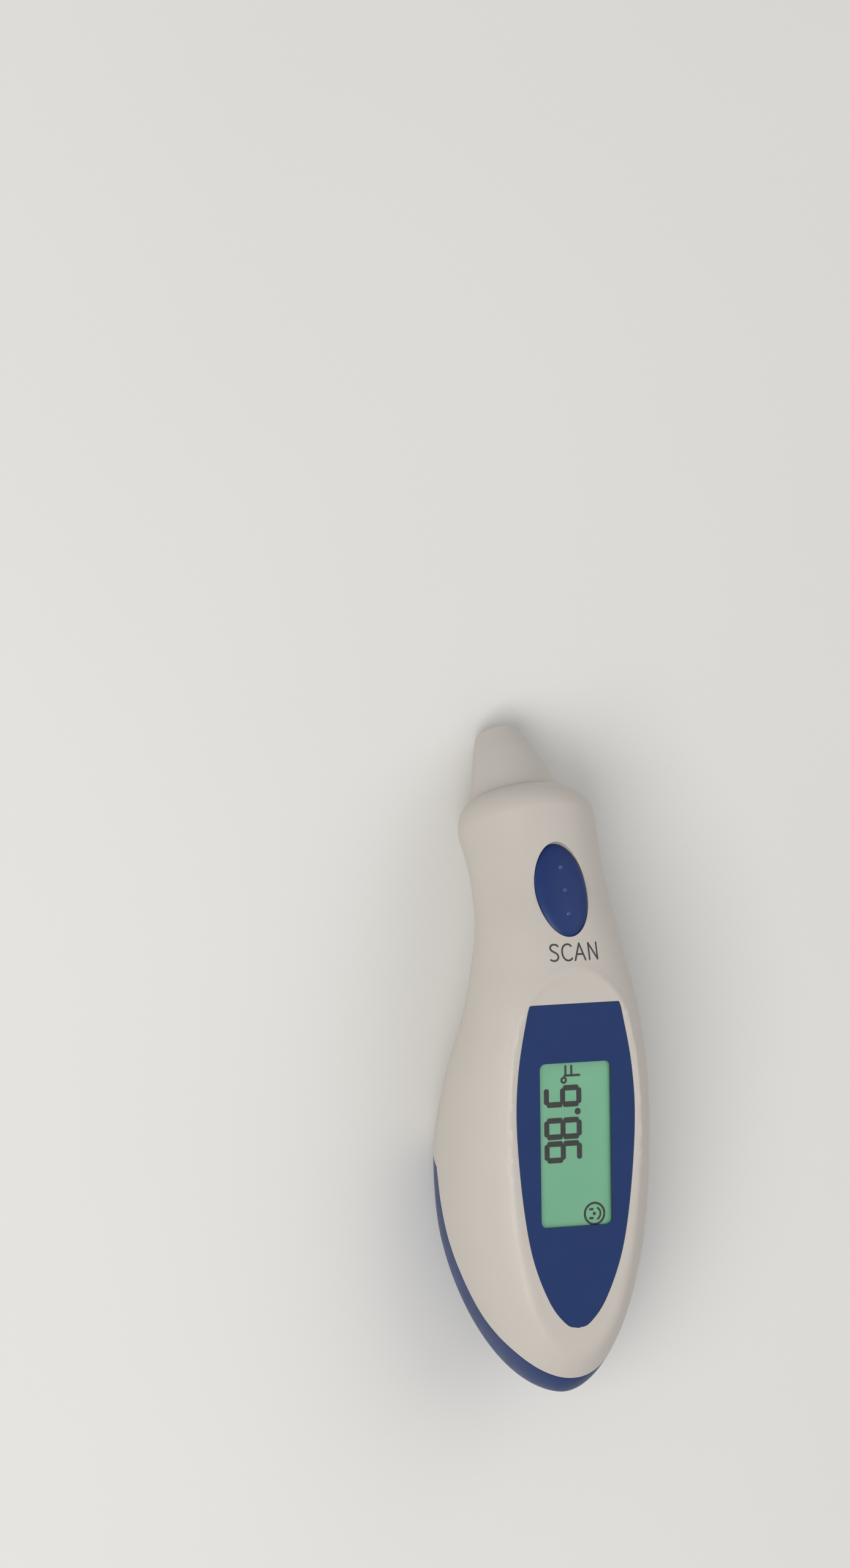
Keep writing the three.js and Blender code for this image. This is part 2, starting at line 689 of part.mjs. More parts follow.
function addButton() {
  const { halfWidth, halfLength } = BUTTON;
  const domeRows = [0, 0.12, 0.3, 0.5, 0.7, 0.88, 0.97, 1];
  const rim = -0.9; // height of the cap's edge
  const domeHeight = (share) => rim + (BUTTON_RISE - rim) * sqrt(1 - 0.985 * share * share);
  const rings = domeRows.toReversed().map((share) =>
    Array.from({ length: 40 }, (_, column) => {
      const angle = (column * 2 * PI) / 40;
      return new THREE.Vector3(
        share * halfWidth * cos(angle),
        share * halfLength * sin(angle),
        share < 1 ? domeHeight(share) : rim,
      );
    }),
  );
  const foot = rings[0].map(({ x, y }) => new THREE.Vector3(x, y, -4));
  const domed = ringsToGeometry(
    [foot, ...rings.slice(0, -1)],
    new THREE.Vector3(0, 0, -4),
    new THREE.Vector3(0, 0, BUTTON_RISE),
  );
  const flange = solid(plate(ellipse(halfWidth + 1.1, halfLength + 1.1), -4.8, -3.8, 10));
  const dots = BUTTON_DOTS.map((y) => {
    const height = domeHeight(abs(y) / halfLength);
    return solid(disc(DOT_RADIUS, height - 0.5, height + 0.25, 10).translate(0, y, 0));
  });
  add(button, "scan_button", join(solid(domed), flange, ...dots), finish.button);

  const bodyTop = -7.2;
  const plungerTop = -5.1;
  const well = solid(disc(2, -9.4, 0, 16));
  add(button, "switch_plunger", disc(1.7, -8.3, plungerTop, 16), finish.white);
  const housing = cut(solid(box(6, 6, -10.6, bodyTop)), well);
  add(button, "switch_body", housing, finish.black);
  const { top, bottom, halfWidth: wide, halfLength: long } = SWITCH_BOARD;
  const outline = rectangle(wide, -long, long, 2);
  SWITCH_BOARD_SCREWS.forEach(({ x, y }, i) => {
    outline.holes.push(new THREE.Path().absarc(x, y, PILOT, 0, PI * 2, true));
    const fixing = screw(PIN, 1.5, 0.9, 3.4, bottom - 0.2).translate(x, y, 0);
    add(button, `switch_board_screw_${i + 1}`, fixing, finish.steel);
  });
  add(button, "switch_board", plate(outline, bottom, top, 4), finish.board);
}

function addProbe() {
  add(body, "probe_cone", probeCone(), finish.probe);
  const tip = probeLength;
  add(probe, "probe_window", disc(APERTURE - 0.3, tip - 1, tip - 0.5, 24), finish.clear);
  add(probe, "waveguide_tube", ring(2.9, 2.4, 3.4, tip - 1.4, 24), finish.brass);
  const can = turned([[0, -2.2], [4.6, -2.2], [4.6, -1.6], [4.1, -1.6], [4.1, 2], [0, 2]], 24);
  add(probe, "thermopile_sensor", can, finish.steel);
  add(probe, "sensor_holder", ring(6.4, 5, -3.2, 2.4, 28), finish.brass);
  const seal = new THREE.TorusGeometry(7, 0.42, 6, 24).translate(0, 0, -1.2);
  add(probe, "probe_seal", seal, finish.rubber);
  const route = [[114.5, -8.4], [108, -7.6], [98, -5.6], [90, -2], [86.6, 3], [84.6, 7.6]];
  add(body, "sensor_cable", strip(route, 4, 0.4), finish.cable);
}

const CELL = { y: 31, radius: 10, top: -6.3, bottom: -9.5 };
const TRAY = { top: -4.3, bottom: -5.6, low: 12, high: 48 };
// Contact strips, up to the underside of the main board.
const CONTACT = { top: 8.4, thickness: 0.25, width: 3.6 };

function addBattery() {
  const inside = skinSolid(WALL + 0.5, 20, 6, 2);
  const floorPlate = solid(
    plate(rectangle(24, TRAY.low, TRAY.high, 1), TRAY.bottom, TRAY.top, 2),
  );
  const wall = solid(ring(11.6, 10.4, CELL.bottom - 0.6, TRAY.top, 30).translate(0, CELL.y, 0));
  const slots = [
    solid(box(5, 2, -12, 0, 0, CELL.y + 10.8)),
    solid(box(5, 1.4, -7, 0, 0, CELL.y - 7.6)),
  ];
  const screwHoles = TRAY_SCREWS.map(({ x, y }) =>
    solid(disc(SCREW.bore, -12, 0, 12).translate(x, y, 0)),
  );
  const tray = cut(join(floorPlate, wall).intersect(inside), ...slots, ...screwHoles);
  add(body, "battery_tray", tray, finish.white);
  const cell = turned(
    [
      [0, CELL.bottom],
      [CELL.radius - 0.4, CELL.bottom],
      [CELL.radius, CELL.bottom + 0.4],
      [CELL.radius, CELL.top - 0.6],
      [CELL.radius - 1.2, CELL.top - 0.6],
      [CELL.radius - 1.6, CELL.top],
      [0, CELL.top],
    ],
    32,
  ).translate(0, CELL.y, 0);
  add(body, "coin_battery", cell, finish.steel);
  const negative = bentStrip(
    [[CELL.y + 3, -5.95], [CELL.y - 7.4, -5.9], [CELL.y - 7.4, CONTACT.top]],
    CONTACT.thickness,
    CONTACT.width,
  );
  add(body, "battery_contact_negative", negative, finish.steel);
  const positive = bentStrip(
    [[CELL.y + 10.9, CONTACT.top], [CELL.y + 10.9, -9.9], [CELL.y + 4.5, -9.75]],
    CONTACT.thickness,
    CONTACT.width,
  );
  add(body, "battery_contact_positive", positive, finish.steel);
}

function addScrews() {
  CASING_SCREWS.forEach(({ x, y, split }, i) => {
    const { shank, head, headHeight, length } = SCREW;
    const fixing = screw(shank, head, headHeight, length, split - SCREW_SEAT - 0.2);
    add(body, `casing_screw_${i + 1}`, fixing.translate(x, y, 0), finish.steel);
  });
  TRAY_SCREWS.forEach(({ x, y }, i) => {
    const { shank, head, headHeight, length } = SCREW;
    const fixing = screw(shank, head, headHeight, length - 2, TRAY.bottom - 0.2);
    add(body, `tray_screw_${i + 1}`, fixing.translate(x, y, 0), finish.steel);
  });
}

add(body, "front_casing", frontCasing(), finish.casing);
addDisplayStack();
addMainBoard();
addButton();
addProbe();
addBattery();
addScrews();

// The probe's lowest point sets the height of the plane that the object rests on, and the
// shells behind are trimmed flat where the belly would pass through that plane. The back shell
// stays a little above it, so that the thermometer stands on the battery cover alone.
body.rotation.x = REST_TILT;
body.updateMatrixWorld(true);
const restHeight = new THREE.Box3().setFromObject(body.getObjectByName("probe_cone"), true).min.z;
const belowRest = solid(
  new THREE.BoxGeometry(80, 200, 20)
    .translate(0, 60, restHeight - 10)
    .applyMatrix4(new THREE.Matrix4().makeRotationX(-REST_TILT)),
);
const cover = shell.intersect(coverZone).subtract(belowRest);
add(body, "battery_cover", cover, finish.blue);
const rear = rearCasing().subtract(belowRest.translate([0, 0, REAR_CLEARANCE]));
add(body, "rear_casing", rear, finish.casing);

const bounds = new THREE.Box3().setFromObject(body, true);
body.position.set(0, -(bounds.min.y + bounds.max.y) / 2, -restHeight);

const thermometer = new THREE.Group();
thermometer.add(body);

export default thermometer;
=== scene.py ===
"""Looks of the digital ear thermometer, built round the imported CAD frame.

Lengths in this script are millimetres in the body frame of the thermometer: +X to the right of the
display, +Y along the handle to the probe, +Z out of the display. to_row() turns them into metres in
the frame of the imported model, where the thermometer lies on its back, tilted by REST_TILT.
"""
import math

import bmesh
import bpy
import numpy as np
from mathutils import Matrix, Vector


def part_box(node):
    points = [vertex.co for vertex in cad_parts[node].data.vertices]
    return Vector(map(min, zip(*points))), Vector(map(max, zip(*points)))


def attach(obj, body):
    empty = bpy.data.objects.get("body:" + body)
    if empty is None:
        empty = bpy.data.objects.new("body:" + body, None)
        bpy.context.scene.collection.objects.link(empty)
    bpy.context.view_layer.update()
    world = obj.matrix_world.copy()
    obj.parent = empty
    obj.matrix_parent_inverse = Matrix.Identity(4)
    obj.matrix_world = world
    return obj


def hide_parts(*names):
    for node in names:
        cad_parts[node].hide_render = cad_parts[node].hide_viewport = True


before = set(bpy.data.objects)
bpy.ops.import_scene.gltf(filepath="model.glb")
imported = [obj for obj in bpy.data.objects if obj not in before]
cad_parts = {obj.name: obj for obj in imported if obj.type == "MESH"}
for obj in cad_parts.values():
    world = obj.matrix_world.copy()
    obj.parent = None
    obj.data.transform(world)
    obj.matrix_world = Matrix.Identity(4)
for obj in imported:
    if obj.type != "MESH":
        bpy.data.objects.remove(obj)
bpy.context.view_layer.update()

# ---------- Dimensions, the same as the CAD part's ----------

BELLY_END = 48.0
BELLY_HALF_WIDTH = 20.7
BELLY_FRONT = 21.4
BELLY_BACK = -19.2
END_HEIGHT = 11.0
FRONT_ROUNDING = 21.0
BACK_ROUNDING = 38.0
# Front point (y, z), back point (y, z), half width and squareness of each section.
SECTIONS = np.array([
    [36, 21.7, 36, -18.8, 19.9, 2.6],
    [BELLY_END, BELLY_FRONT, BELLY_END, BELLY_BACK, BELLY_HALF_WIDTH, 2.6],
    [63, 20.8, 61.5, -14.2, 20.1, 2.55],
    [77, 19.2, 77, -7.4, 17.7, 2.45],
    [87, 16.5, 85, -7.2, 16, 2.25],
    [95, 14.1, 91.5, -7.7, 14.8, 2.08],
    [103, 10.7, 97, -9.9, 14.1, 2],
    [111.3, 7.8, 102, -13.2, 13.8, 2],
    [118.8, 5.6, 106.4, -17.6, 14.1, 2],
], float)
COLLAR = len(SECTIONS) - 1
SHOULDER_TURN = math.radians(70)
CREASE_Y, CREASE_Z, CREASE_RADIUS, CREASE_LEAN = 117.9, -11.1, 10.0, math.radians(26)
TIP_Y, TIP_Z, TIP_RADIUS, TIP_LEAN = 130.2, -20.5, 4.9, math.radians(34)
WALL = 1.8
PROBE_WALL = 1.4
APERTURE = 3.4

FACET_LOW_Y, FACET_LOW_Z = 14.0, 19.2
FACET_HIGH_Y, FACET_HIGH_Z = 78.0, 17.0
FACET_SLOPE = (FACET_HIGH_Z - FACET_LOW_Z) / (FACET_HIGH_Y - FACET_LOW_Y)

LABEL_LOW, LABEL_HIGH = 14.2, 79.5
WINDOW_LOW, WINDOW_HIGH, WINDOW_HALF_WIDTH = 34.7, 67.7, 7.85
WINDOW_MIDDLE = (WINDOW_LOW + WINDOW_HIGH) / 2
WINDOW_HALF_LENGTH = (WINDOW_HIGH - WINDOW_LOW) / 2

BUTTON_Y, BUTTON_Z, BUTTON_LEAN = 101.9, 11.2, math.radians(23.8)
BUTTON_HALF_WIDTH, BUTTON_HALF_LENGTH = 5.55, 9.75
BUTTON_RISE = 0.8
BUTTON_FLANGE = 1.1  # how far the flange under the button reaches past its edge
BUTTON_DOTS = (-5.2, -0.35, 4.5)

CELL_Y, CELL_Z, CELL_RADIUS, CELL_THICKNESS = 31.0, -7.9, 10.0, 3.2
REST_TILT = math.radians(3.7)
COVER_TOP = 49
REAR_CLEARANCE = 0.15
SEAM_AT_END = [
    (3.4, 26), (3.4, 17), (5, 15.6), (9, 12.2), (12.5, 8.8), (16.6, 5.4), (23.6, 1.3),
    (30.6, -2), (37.7, -3.9), (42, -4.7),
]
SEAM_CORNER = [(44.6, -5.4), (46.6, -9.5)]
SEAM_ON_NECK = [
    (55, -4.8), (62, -4.1), (77, -0.8), (92, -1.4), (104, -6.6), (112, -11.6), (124, -19),
]
SEAM_GAP = 0.16  # width of the hairline between two shells

# ---------- From the body frame to the row frame ----------

tilt = Matrix.Rotation(REST_TILT, 4, "X")
cell_low, cell_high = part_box("coin_battery")
cell_middle = (cell_low + cell_high) / 2 * 1000
shift = cell_middle - tilt @ Vector((0, CELL_Y, CELL_Z))
BODY_TO_ROW = Matrix.Scale(0.001, 4) @ Matrix.Translation(shift) @ tilt


def leaning_frame(y, z, lean):
    """A frame at (0, y, z), its Z axis leaning by an angle from +Z towards +Y."""
    return Matrix.Translation((0, y, z)) @ Matrix.Rotation(-lean, 4, "X")


def facet_height(y):
    return FACET_LOW_Z + (y - FACET_LOW_Y) * FACET_SLOPE


DISPLAY = leaning_frame(WINDOW_MIDDLE, facet_height(WINDOW_MIDDLE), -math.atan(FACET_SLOPE))
BUTTON = leaning_frame(BUTTON_Y, BUTTON_Z, BUTTON_LEAN)
PROBE_LEAN = math.atan2(CREASE_Z - TIP_Z, TIP_Y - CREASE_Y)
PROBE = leaning_frame(CREASE_Y, CREASE_Z, math.pi / 2 + PROBE_LEAN)
PROBE_LENGTH = math.hypot(TIP_Y - CREASE_Y, TIP_Z - CREASE_Z)

# ---------- The skin ----------


def quarter(share):
    """Height of a quarter circle of radius 1, rising steeply at share 0 and level at share 1."""
    rest = 1 - np.clip(share, 0, 1)
    return np.sqrt(1 - rest * rest)


def catmull_rom(rows, station):
    i = int(min(math.floor(station), len(rows) - 2))
    u = station - i
    start, end = rows[i], rows[i + 1]
    before = (end - rows[i - 1]) / 2
    after = (rows[i + 2] - start) / 2 if i + 2 < len(rows) else end - start
    cubic = (2 * start - 2 * end + before + after) * u + 3 * (end - start)
    return ((cubic - 2 * before - after) * u + before) * u + start


def section(station):
    """Front y, z, back y, z, half width and squareness at a station along the body."""
    if station <= 1:
        y = BELLY_END * (1 - math.cos(station * math.pi / 2))
        front = END_HEIGHT + (BELLY_FRONT - END_HEIGHT) * quarter(y / FRONT_ROUNDING)
        back = END_HEIGHT - (END_HEIGHT - BELLY_BACK) * quarter(y / BACK_ROUNDING)
        width = BELLY_HALF_WIDTH * quarter(y / BELLY_END)
        return y, front, y, back, width, 2 + 0.6 * min(y / 30, 1)
    if station <= COLLAR:
        return tuple(catmull_rom(SECTIONS, station))
    turn = (station - COLLAR) * SHOULDER_TURN
    along = math.sin(turn) / math.sin(SHOULDER_TURN)
    inward = (1 - math.cos(turn)) / (1 - math.cos(SHOULDER_TURN))
    c, s = math.cos(CREASE_LEAN), math.sin(CREASE_LEAN)
    front_y, front_z, back_y, back_z, half_width = SECTIONS[COLLAR][:5]
    out = []
    for y, z, side in ((front_y, front_z, 1), (back_y, back_z, -1)):
        step_y = CREASE_Y + side * CREASE_RADIUS * s - y
        step_z = CREASE_Z + side * CREASE_RADIUS * c - z
        axial = (step_y * c - step_z * s) * along
        radial = (step_y * s + step_z * c) * inward
        out += [y + axial * c + radial * s, z - axial * s + radial * c]
    return (*out, half_width + (CREASE_RADIUS - half_width) * inward, 2.0)


FACET_SOFTNESS = 0.35  # how far the facet's rounded edge reaches in height
FACET_RIM = 0.2  # how high the rim stands above that edge
FACET_FADE = (22, 62)  # from the first y to the second, the rim rises and the edge gets crisper


def soften_facet(points):
    """Presses the front of the skin onto the display's flat facet, with a faint raised rim."""
    x, y, z = points.T
    plane = facet_height(y)
    above = z - plane
    softness = np.interp(y, FACET_FADE, (3 * FACET_SOFTNESS, FACET_SOFTNESS))
    blend = np.clip(0.5 + 0.5 * above / softness, 0, 1)
    rim = np.interp(y, FACET_FADE, (0, FACET_RIM)) * np.exp(-(above / softness) ** 2)
    pressed = z - above * blend - softness * blend * (1 - blend) / 2 + rim
    return np.column_stack([x, y, np.where(z > 5, pressed, z)])


def skin_row(station, angles, facet=True):
    front_y, front_z, back_y, back_z, width, squareness = section(station)
    power = 2 / squareness
    across = np.sign(np.sin(angles)) * np.abs(np.sin(angles)) ** power
    upward = np.sign(np.cos(angles)) * np.abs(np.cos(angles)) ** power
    points = np.column_stack([
        width * across,
        (front_y + back_y) / 2 + (front_y - back_y) / 2 * upward,
        (front_z + back_z) / 2 + (front_z - back_z) / 2 * upward,
    ])
    return soften_facet(points) if facet else points


def skin_normals(station, angles):
    step = 1e-3
    along = skin_row(min(station + step, COLLAR + 1), angles, False)
    along = along - skin_row(max(station - step, 0), angles, False)
    around = skin_row(station, angles + step, False) - skin_row(station, angles - step, False)
    normal = np.cross(around, along)
    return normal / np.linalg.norm(normal, axis=1, keepdims=True)


def seam_height(y):
    """Height of the joint between front shell and the shells behind it."""
    line = np.array(SEAM_AT_END[1:] + SEAM_CORNER + SEAM_ON_NECK, float)
    return np.interp(y, line[:, 0], line[:, 1])


def seam_angle(station):
    """The angle round a section at which the seam crosses it."""
    angles = np.linspace(0.2, math.pi - 0.2, 300)
    row = skin_row(station, angles, False)
    below = np.nonzero(row[:, 2] < seam_height(row[:, 1]))[0]
    return angles[below[0]] if len(below) else math.pi * 0.6


def seam_columns(station, count):
    """Angles round the skin, with one column of points lying along the seam on each side."""
    middle = np.clip(seam_angle(max(station, 0.45)), 1.0, 2.3)
    half = np.concatenate([
        np.linspace(0, middle, count // 2, endpoint=False),
        np.linspace(middle, math.pi, count // 2, endpoint=False),
    ])
    return np.concatenate([half, [math.pi], 2 * math.pi - half[:0:-1]])


# ---------- Meshes ----------

ROW = np.array(BODY_TO_ROW)
SHARP_ANGLE = math.radians(32)


def to_row(points, local=Matrix.Identity(4)):
    points = np.asarray(points, float)
    matrix = ROW @ np.array(local)
    return points @ matrix[:3, :3].T + matrix[:3, 3]


def new_object(name, vertices, faces, local=Matrix.Identity(4)):
    mesh = bpy.data.meshes.new(name)
    mesh.from_pydata(to_row(vertices, local).tolist(), [], faces)
    mesh.validate()
    piece = bpy.data.objects.new(name, mesh)
    bpy.context.scene.collection.objects.link(piece)
    fix = bmesh.new()
    fix.from_mesh(mesh)
    bmesh.ops.remove_doubles(fix, verts=fix.verts, dist=1e-8)
    bmesh.ops.recalc_face_normals(fix, faces=fix.faces)
    fix.to_mesh(mesh)
    fix.free()
    smooth(piece)
    return piece


def tube_faces(rows, columns):
    """Quads between rings of points, with one face over each end."""
    faces = []
    for row in range(rows - 1):
        below, above = row * columns, (row + 1) * columns
        for column in range(columns):
            step = (column + 1) % columns
            faces.append((below + column, below + step, above + step, above + column))
    faces.append(tuple(range(columns - 1, -1, -1)))
    faces.append(tuple((rows - 1) * columns + i for i in range(columns)))
    return faces


def rings_object(name, rings, local=Matrix.Identity(4)):
    faces = tube_faces(len(rings), len(rings[0]))
    return new_object(name, np.concatenate(rings), faces, local)


def turned(name, profile, local=Matrix.Identity(4), segments=64):
    """A profile of (radius, height) points turned round the local Z axis."""
    angles = np.linspace(0, 2 * math.pi, segments, endpoint=False)
    rings = [
        np.column_stack([r * np.cos(angles), r * np.sin(angles), np.full(segments, h)])
        for r, h in profile
    ]
    return rings_object(name, rings, local)


def prism(name, outline, bottom, top, local=Matrix.Identity(4)):
    outline = np.asarray(outline, float)
    rings = [np.column_stack([outline, np.full(len(outline), h)]) for h in (bottom, top)]
    return rings_object(name, rings, local)


def rounded_plate(name, outline, bottom, top, radius, local=Matrix.Identity(4), steps=4):
    """A flat plate whose upper edge is rounded; the outline is moved in along its normals."""
    outline = np.asarray(outline, float)
    ahead, behind = np.roll(outline, -1, axis=0), np.roll(outline, 1, axis=0)
    tangent = ahead - behind
    inward = np.column_stack([-tangent[:, 1], tangent[:, 0]])
    inward /= np.linalg.norm(inward, axis=1, keepdims=True)
    rings = [np.column_stack([outline, np.full(len(outline), bottom)])]
    for i in range(steps + 1):
        angle = i / steps * math.pi / 2
        moved = outline + inward * radius * (1 - math.cos(angle))
        height = top - radius * (1 - math.sin(angle))
        rings.append(np.column_stack([moved, np.full(len(outline), height)]))
    return rings_object(name, rings, local)


def side_cutter(name, side_view):
    """A block with an outline of (y, z) points, wider than the casing."""
    rings = [[(x, y, z) for y, z in side_view] for x in (-30, 30)]
    return rings_object(name, [np.array(ring, float) for ring in rings])


def boolean(piece, cutter, operation):
    change = piece.modifiers.new("cut", "BOOLEAN")
    change.operation = operation
    change.solver = "MANIFOLD"
    change.object = cutter
    bake_modifiers(piece)


def bake_modifiers(piece):
    """The piece's modifiers become its mesh."""
    graph = bpy.context.evaluated_depsgraph_get()
    mesh = bpy.data.meshes.new_from_object(piece.evaluated_get(graph))
    old = piece.data
    piece.modifiers.clear()
    piece.data = mesh
    bpy.data.meshes.remove(old)


def discard(*pieces):
    for piece in pieces:
        mesh = piece.data
        bpy.data.objects.remove(piece)
        bpy.data.meshes.remove(mesh)


def soften_edges(piece, width, angle=40):
    """Rounds the sharp edges and shades the rest smooth."""
    mesh = piece.data
    clean = bmesh.new()
    clean.from_mesh(mesh)
    bmesh.ops.remove_doubles(clean, verts=clean.verts, dist=4e-5)
    bmesh.ops.dissolve_degenerate(clean, edges=clean.edges, dist=1e-6)
    clean.to_mesh(mesh)
    clean.free()
    bevel = piece.modifiers.new("edges", "BEVEL")
    bevel.width = width / 1000
    bevel.segments = 2
    bevel.limit_method = "ANGLE"
    bevel.angle_limit = math.radians(angle)
    bevel.use_clamp_overlap = True
    weight = piece.modifiers.new("normals", "WEIGHTED_NORMAL")
    weight.keep_sharp = False
    bake_modifiers(piece)
    smooth(piece)


def flatten_faces(piece):
    """Large faces keep flat shading; the shading turns only across the narrow rounded edges."""
    smooth(piece)
    weight = piece.modifiers.new("normals", "WEIGHTED_NORMAL")
    weight.keep_sharp = True
    weight.weight = 100
    bake_modifiers(piece)


def smooth(piece):
    """Smooth shading, with the edges sharper than SHARP_ANGLE kept."""
    piece.data.polygons.foreach_set("use_smooth", [True] * len(piece.data.polygons))
    piece.data.set_sharp_from_angle(angle=SHARP_ANGLE)


# ---------- Materials ----------


def linear(red, green, blue):
    """A colour given as 0 to 255 on screen, as the shader's linear colour."""
    values = [c / 255 for c in (red, green, blue)]
    out = [c / 12.92 if c <= 0.04045 else ((c + 0.055) / 1.055) ** 2.4 for c in values]
    return (*out, 1.0)


class Nodes:
    """A material with a Principled shader, and short ways to add nodes to it."""

    def __init__(self, name):
        self.material = bpy.data.materials.new(name)
        self.material.use_nodes = True
        self.tree = self.material.node_tree
        self.tree.nodes.clear()
        self.shader = self.add("ShaderNodeBsdfPrincipled")
        output = self.add("ShaderNodeOutputMaterial")
        self.link(self.shader.outputs[0], output.inputs[0])
        self.place = self.add("ShaderNodeTexCoord").outputs["Object"]

    def add(self, kind, **settings):
        node = self.tree.nodes.new(kind)
        for key, value in settings.items():
            setattr(node, key, value)
        return node

    def link(self, source, target):
        self.tree.links.new(source, target)

    def set(self, **values):
        for key, value in values.items():
            self.shader.inputs[key.replace("_", " ")].default_value = value

    def noise(self, size, detail=3.0):
        """Noise whose blotches are about size millimetres across."""
        node = self.add("ShaderNodeTexNoise")
        self.link(self.place, node.inputs["Vector"])
        node.inputs["Scale"].default_value = 1000 / size
        node.inputs["Detail"].default_value = detail
        return node.outputs["Fac"]

    def ramp(self, source, low, high, start=0.3, end=0.7):
        node = self.add("ShaderNodeMapRange")
        self.link(source, node.inputs["Value"])
        for key, value in zip(("From Min", "From Max", "To Min", "To Max"), (start, end, low, high)):
            node.inputs[key].default_value = value
        return node.outputs["Result"]

    def colours(self, source, first, second, start=0.3, end=0.7):
        node = self.add("ShaderNodeValToRGB")
        self.link(source, node.inputs["Fac"])
        node.color_ramp.elements[0].position = start
        node.color_ramp.elements[1].position = end
        node.color_ramp.elements[0].color = first
        node.color_ramp.elements[1].color = second
        self.link(node.outputs["Color"], self.shader.inputs["Base Color"])

    def bump(self, source, strength, distance):
        node = self.add("ShaderNodeBump")
        node.inputs["Strength"].default_value = strength
        node.inputs["Distance"].default_value = distance / 1000
        self.link(source, node.inputs["Height"])
        self.link(node.outputs["Normal"], self.shader.inputs["Normal"])


def plastic(name, colour, roughness, grain=0.45, strength=0.25, variation=0.04, shine=0.5):
    """Moulded plastic: a fine spark-eroded grain, a slight cloudiness and uneven gloss."""
    nodes = Nodes(name)
    base = linear(*colour)
    darker = tuple(c * (1 - variation) for c in base[:3]) + (1.0,)
    lighter = tuple(min(c * (1 + variation), 1) for c in base[:3]) + (1.0,)
    nodes.colours(nodes.noise(9, 5), darker, lighter)
    gloss = nodes.ramp(nodes.noise(3, 4), roughness * 0.92, roughness * 1.1)
    nodes.link(gloss, nodes.shader.inputs["Roughness"])
    nodes.bump(nodes.noise(grain, 2), strength, 0.02)
    nodes.set(IOR=1.5, Specular_IOR_Level=shine)
    return nodes.material


def metal(name, colour, roughness):
    """Plated metal with a faint grain, longer in one direction."""
    nodes = Nodes(name)
    base = linear(*colour)
    nodes.colours(nodes.noise(1.2, 5), tuple(c * 0.85 for c in base[:3]) + (1,), base)
    stretched = nodes.add("ShaderNodeMapping")
    nodes.link(nodes.place, stretched.inputs["Vector"])
    stretched.inputs["Scale"].default_value = (4000, 150, 1000)
    grain = nodes.add("ShaderNodeTexNoise")
    nodes.link(stretched.outputs[0], grain.inputs["Vector"])
    grain.inputs["Scale"].default_value = 1
    worn = nodes.ramp(grain.outputs["Fac"], roughness * 0.8, roughness * 1.3)
    nodes.link(worn, nodes.shader.inputs["Roughness"])
    nodes.bump(grain.outputs["Fac"], 0.15, 0.01)
    nodes.set(Metallic=1.0)
    return nodes.material


def board_material():
    """Green laminate with lighter copper tracks and tinned pads under the mask."""
    nodes = Nodes("circuit_board")
    tracks = nodes.add("ShaderNodeTexBrick", offset=0.37, squash=0.6, squash_frequency=3)
    nodes.link(nodes.place, tracks.inputs["Vector"])
    tracks.inputs["Scale"].default_value = 260
    tracks.inputs["Mortar Size"].default_value = 0.045
    nodes.colours(tracks.outputs["Fac"], linear(22, 84, 48), linear(52, 128, 72), 0.2, 0.8)
    nodes.bump(tracks.outputs["Fac"], 0.3, 0.03)
    nodes.set(Roughness=0.35, Coat_Weight=0.4)
    return nodes.material


def window_material():
    """Thin clear acrylic: a clear sheet with a faint, slightly uneven gloss."""
    material = bpy.data.materials.new("clear_window")
    material.use_nodes = True
    tree = material.node_tree
    tree.nodes.clear()
    output = tree.nodes.new("ShaderNodeOutputMaterial")
    mix = tree.nodes.new("ShaderNodeMixShader")
    gloss = tree.nodes.new("ShaderNodeBsdfGlossy")
    clear = tree.nodes.new("ShaderNodeBsdfTransparent")
    smears = tree.nodes.new("ShaderNodeTexNoise")
    spread = tree.nodes.new("ShaderNodeMapRange")
    smears.inputs["Scale"].default_value = 300
    spread.inputs["To Min"].default_value = 0.06
    spread.inputs["To Max"].default_value = 0.16
    mix.inputs["Fac"].default_value = 0.035
    clear.inputs["Color"].default_value = (0.97, 0.99, 0.98, 1)
    tree.links.new(smears.outputs["Fac"], spread.inputs["Value"])
    tree.links.new(spread.outputs["Result"], gloss.inputs["Roughness"])
    tree.links.new(clear.outputs[0], mix.inputs[1])
    tree.links.new(gloss.outputs[0], mix.inputs[2])
    tree.links.new(mix.outputs[0], output.inputs[0])
    return material


def lcd_material():
    """Backlit liquid crystal: green, a little brighter where the lamps are, with a fine mesh."""
    nodes = Nodes("liquid_crystal")
    nodes.colours(nodes.noise(14, 1), linear(101, 164, 129), linear(113, 172, 139), 0.35, 0.65)
    mesh = nodes.add("ShaderNodeTexVoronoi")
    nodes.link(nodes.place, mesh.inputs["Vector"])
    mesh.inputs["Scale"].default_value = 5000
    nodes.bump(mesh.outputs["Distance"], 0.08, 0.01)
    nodes.set(Roughness=0.35, Emission_Color=linear(110, 190, 140), Emission_Strength=0.12)
    return nodes.material


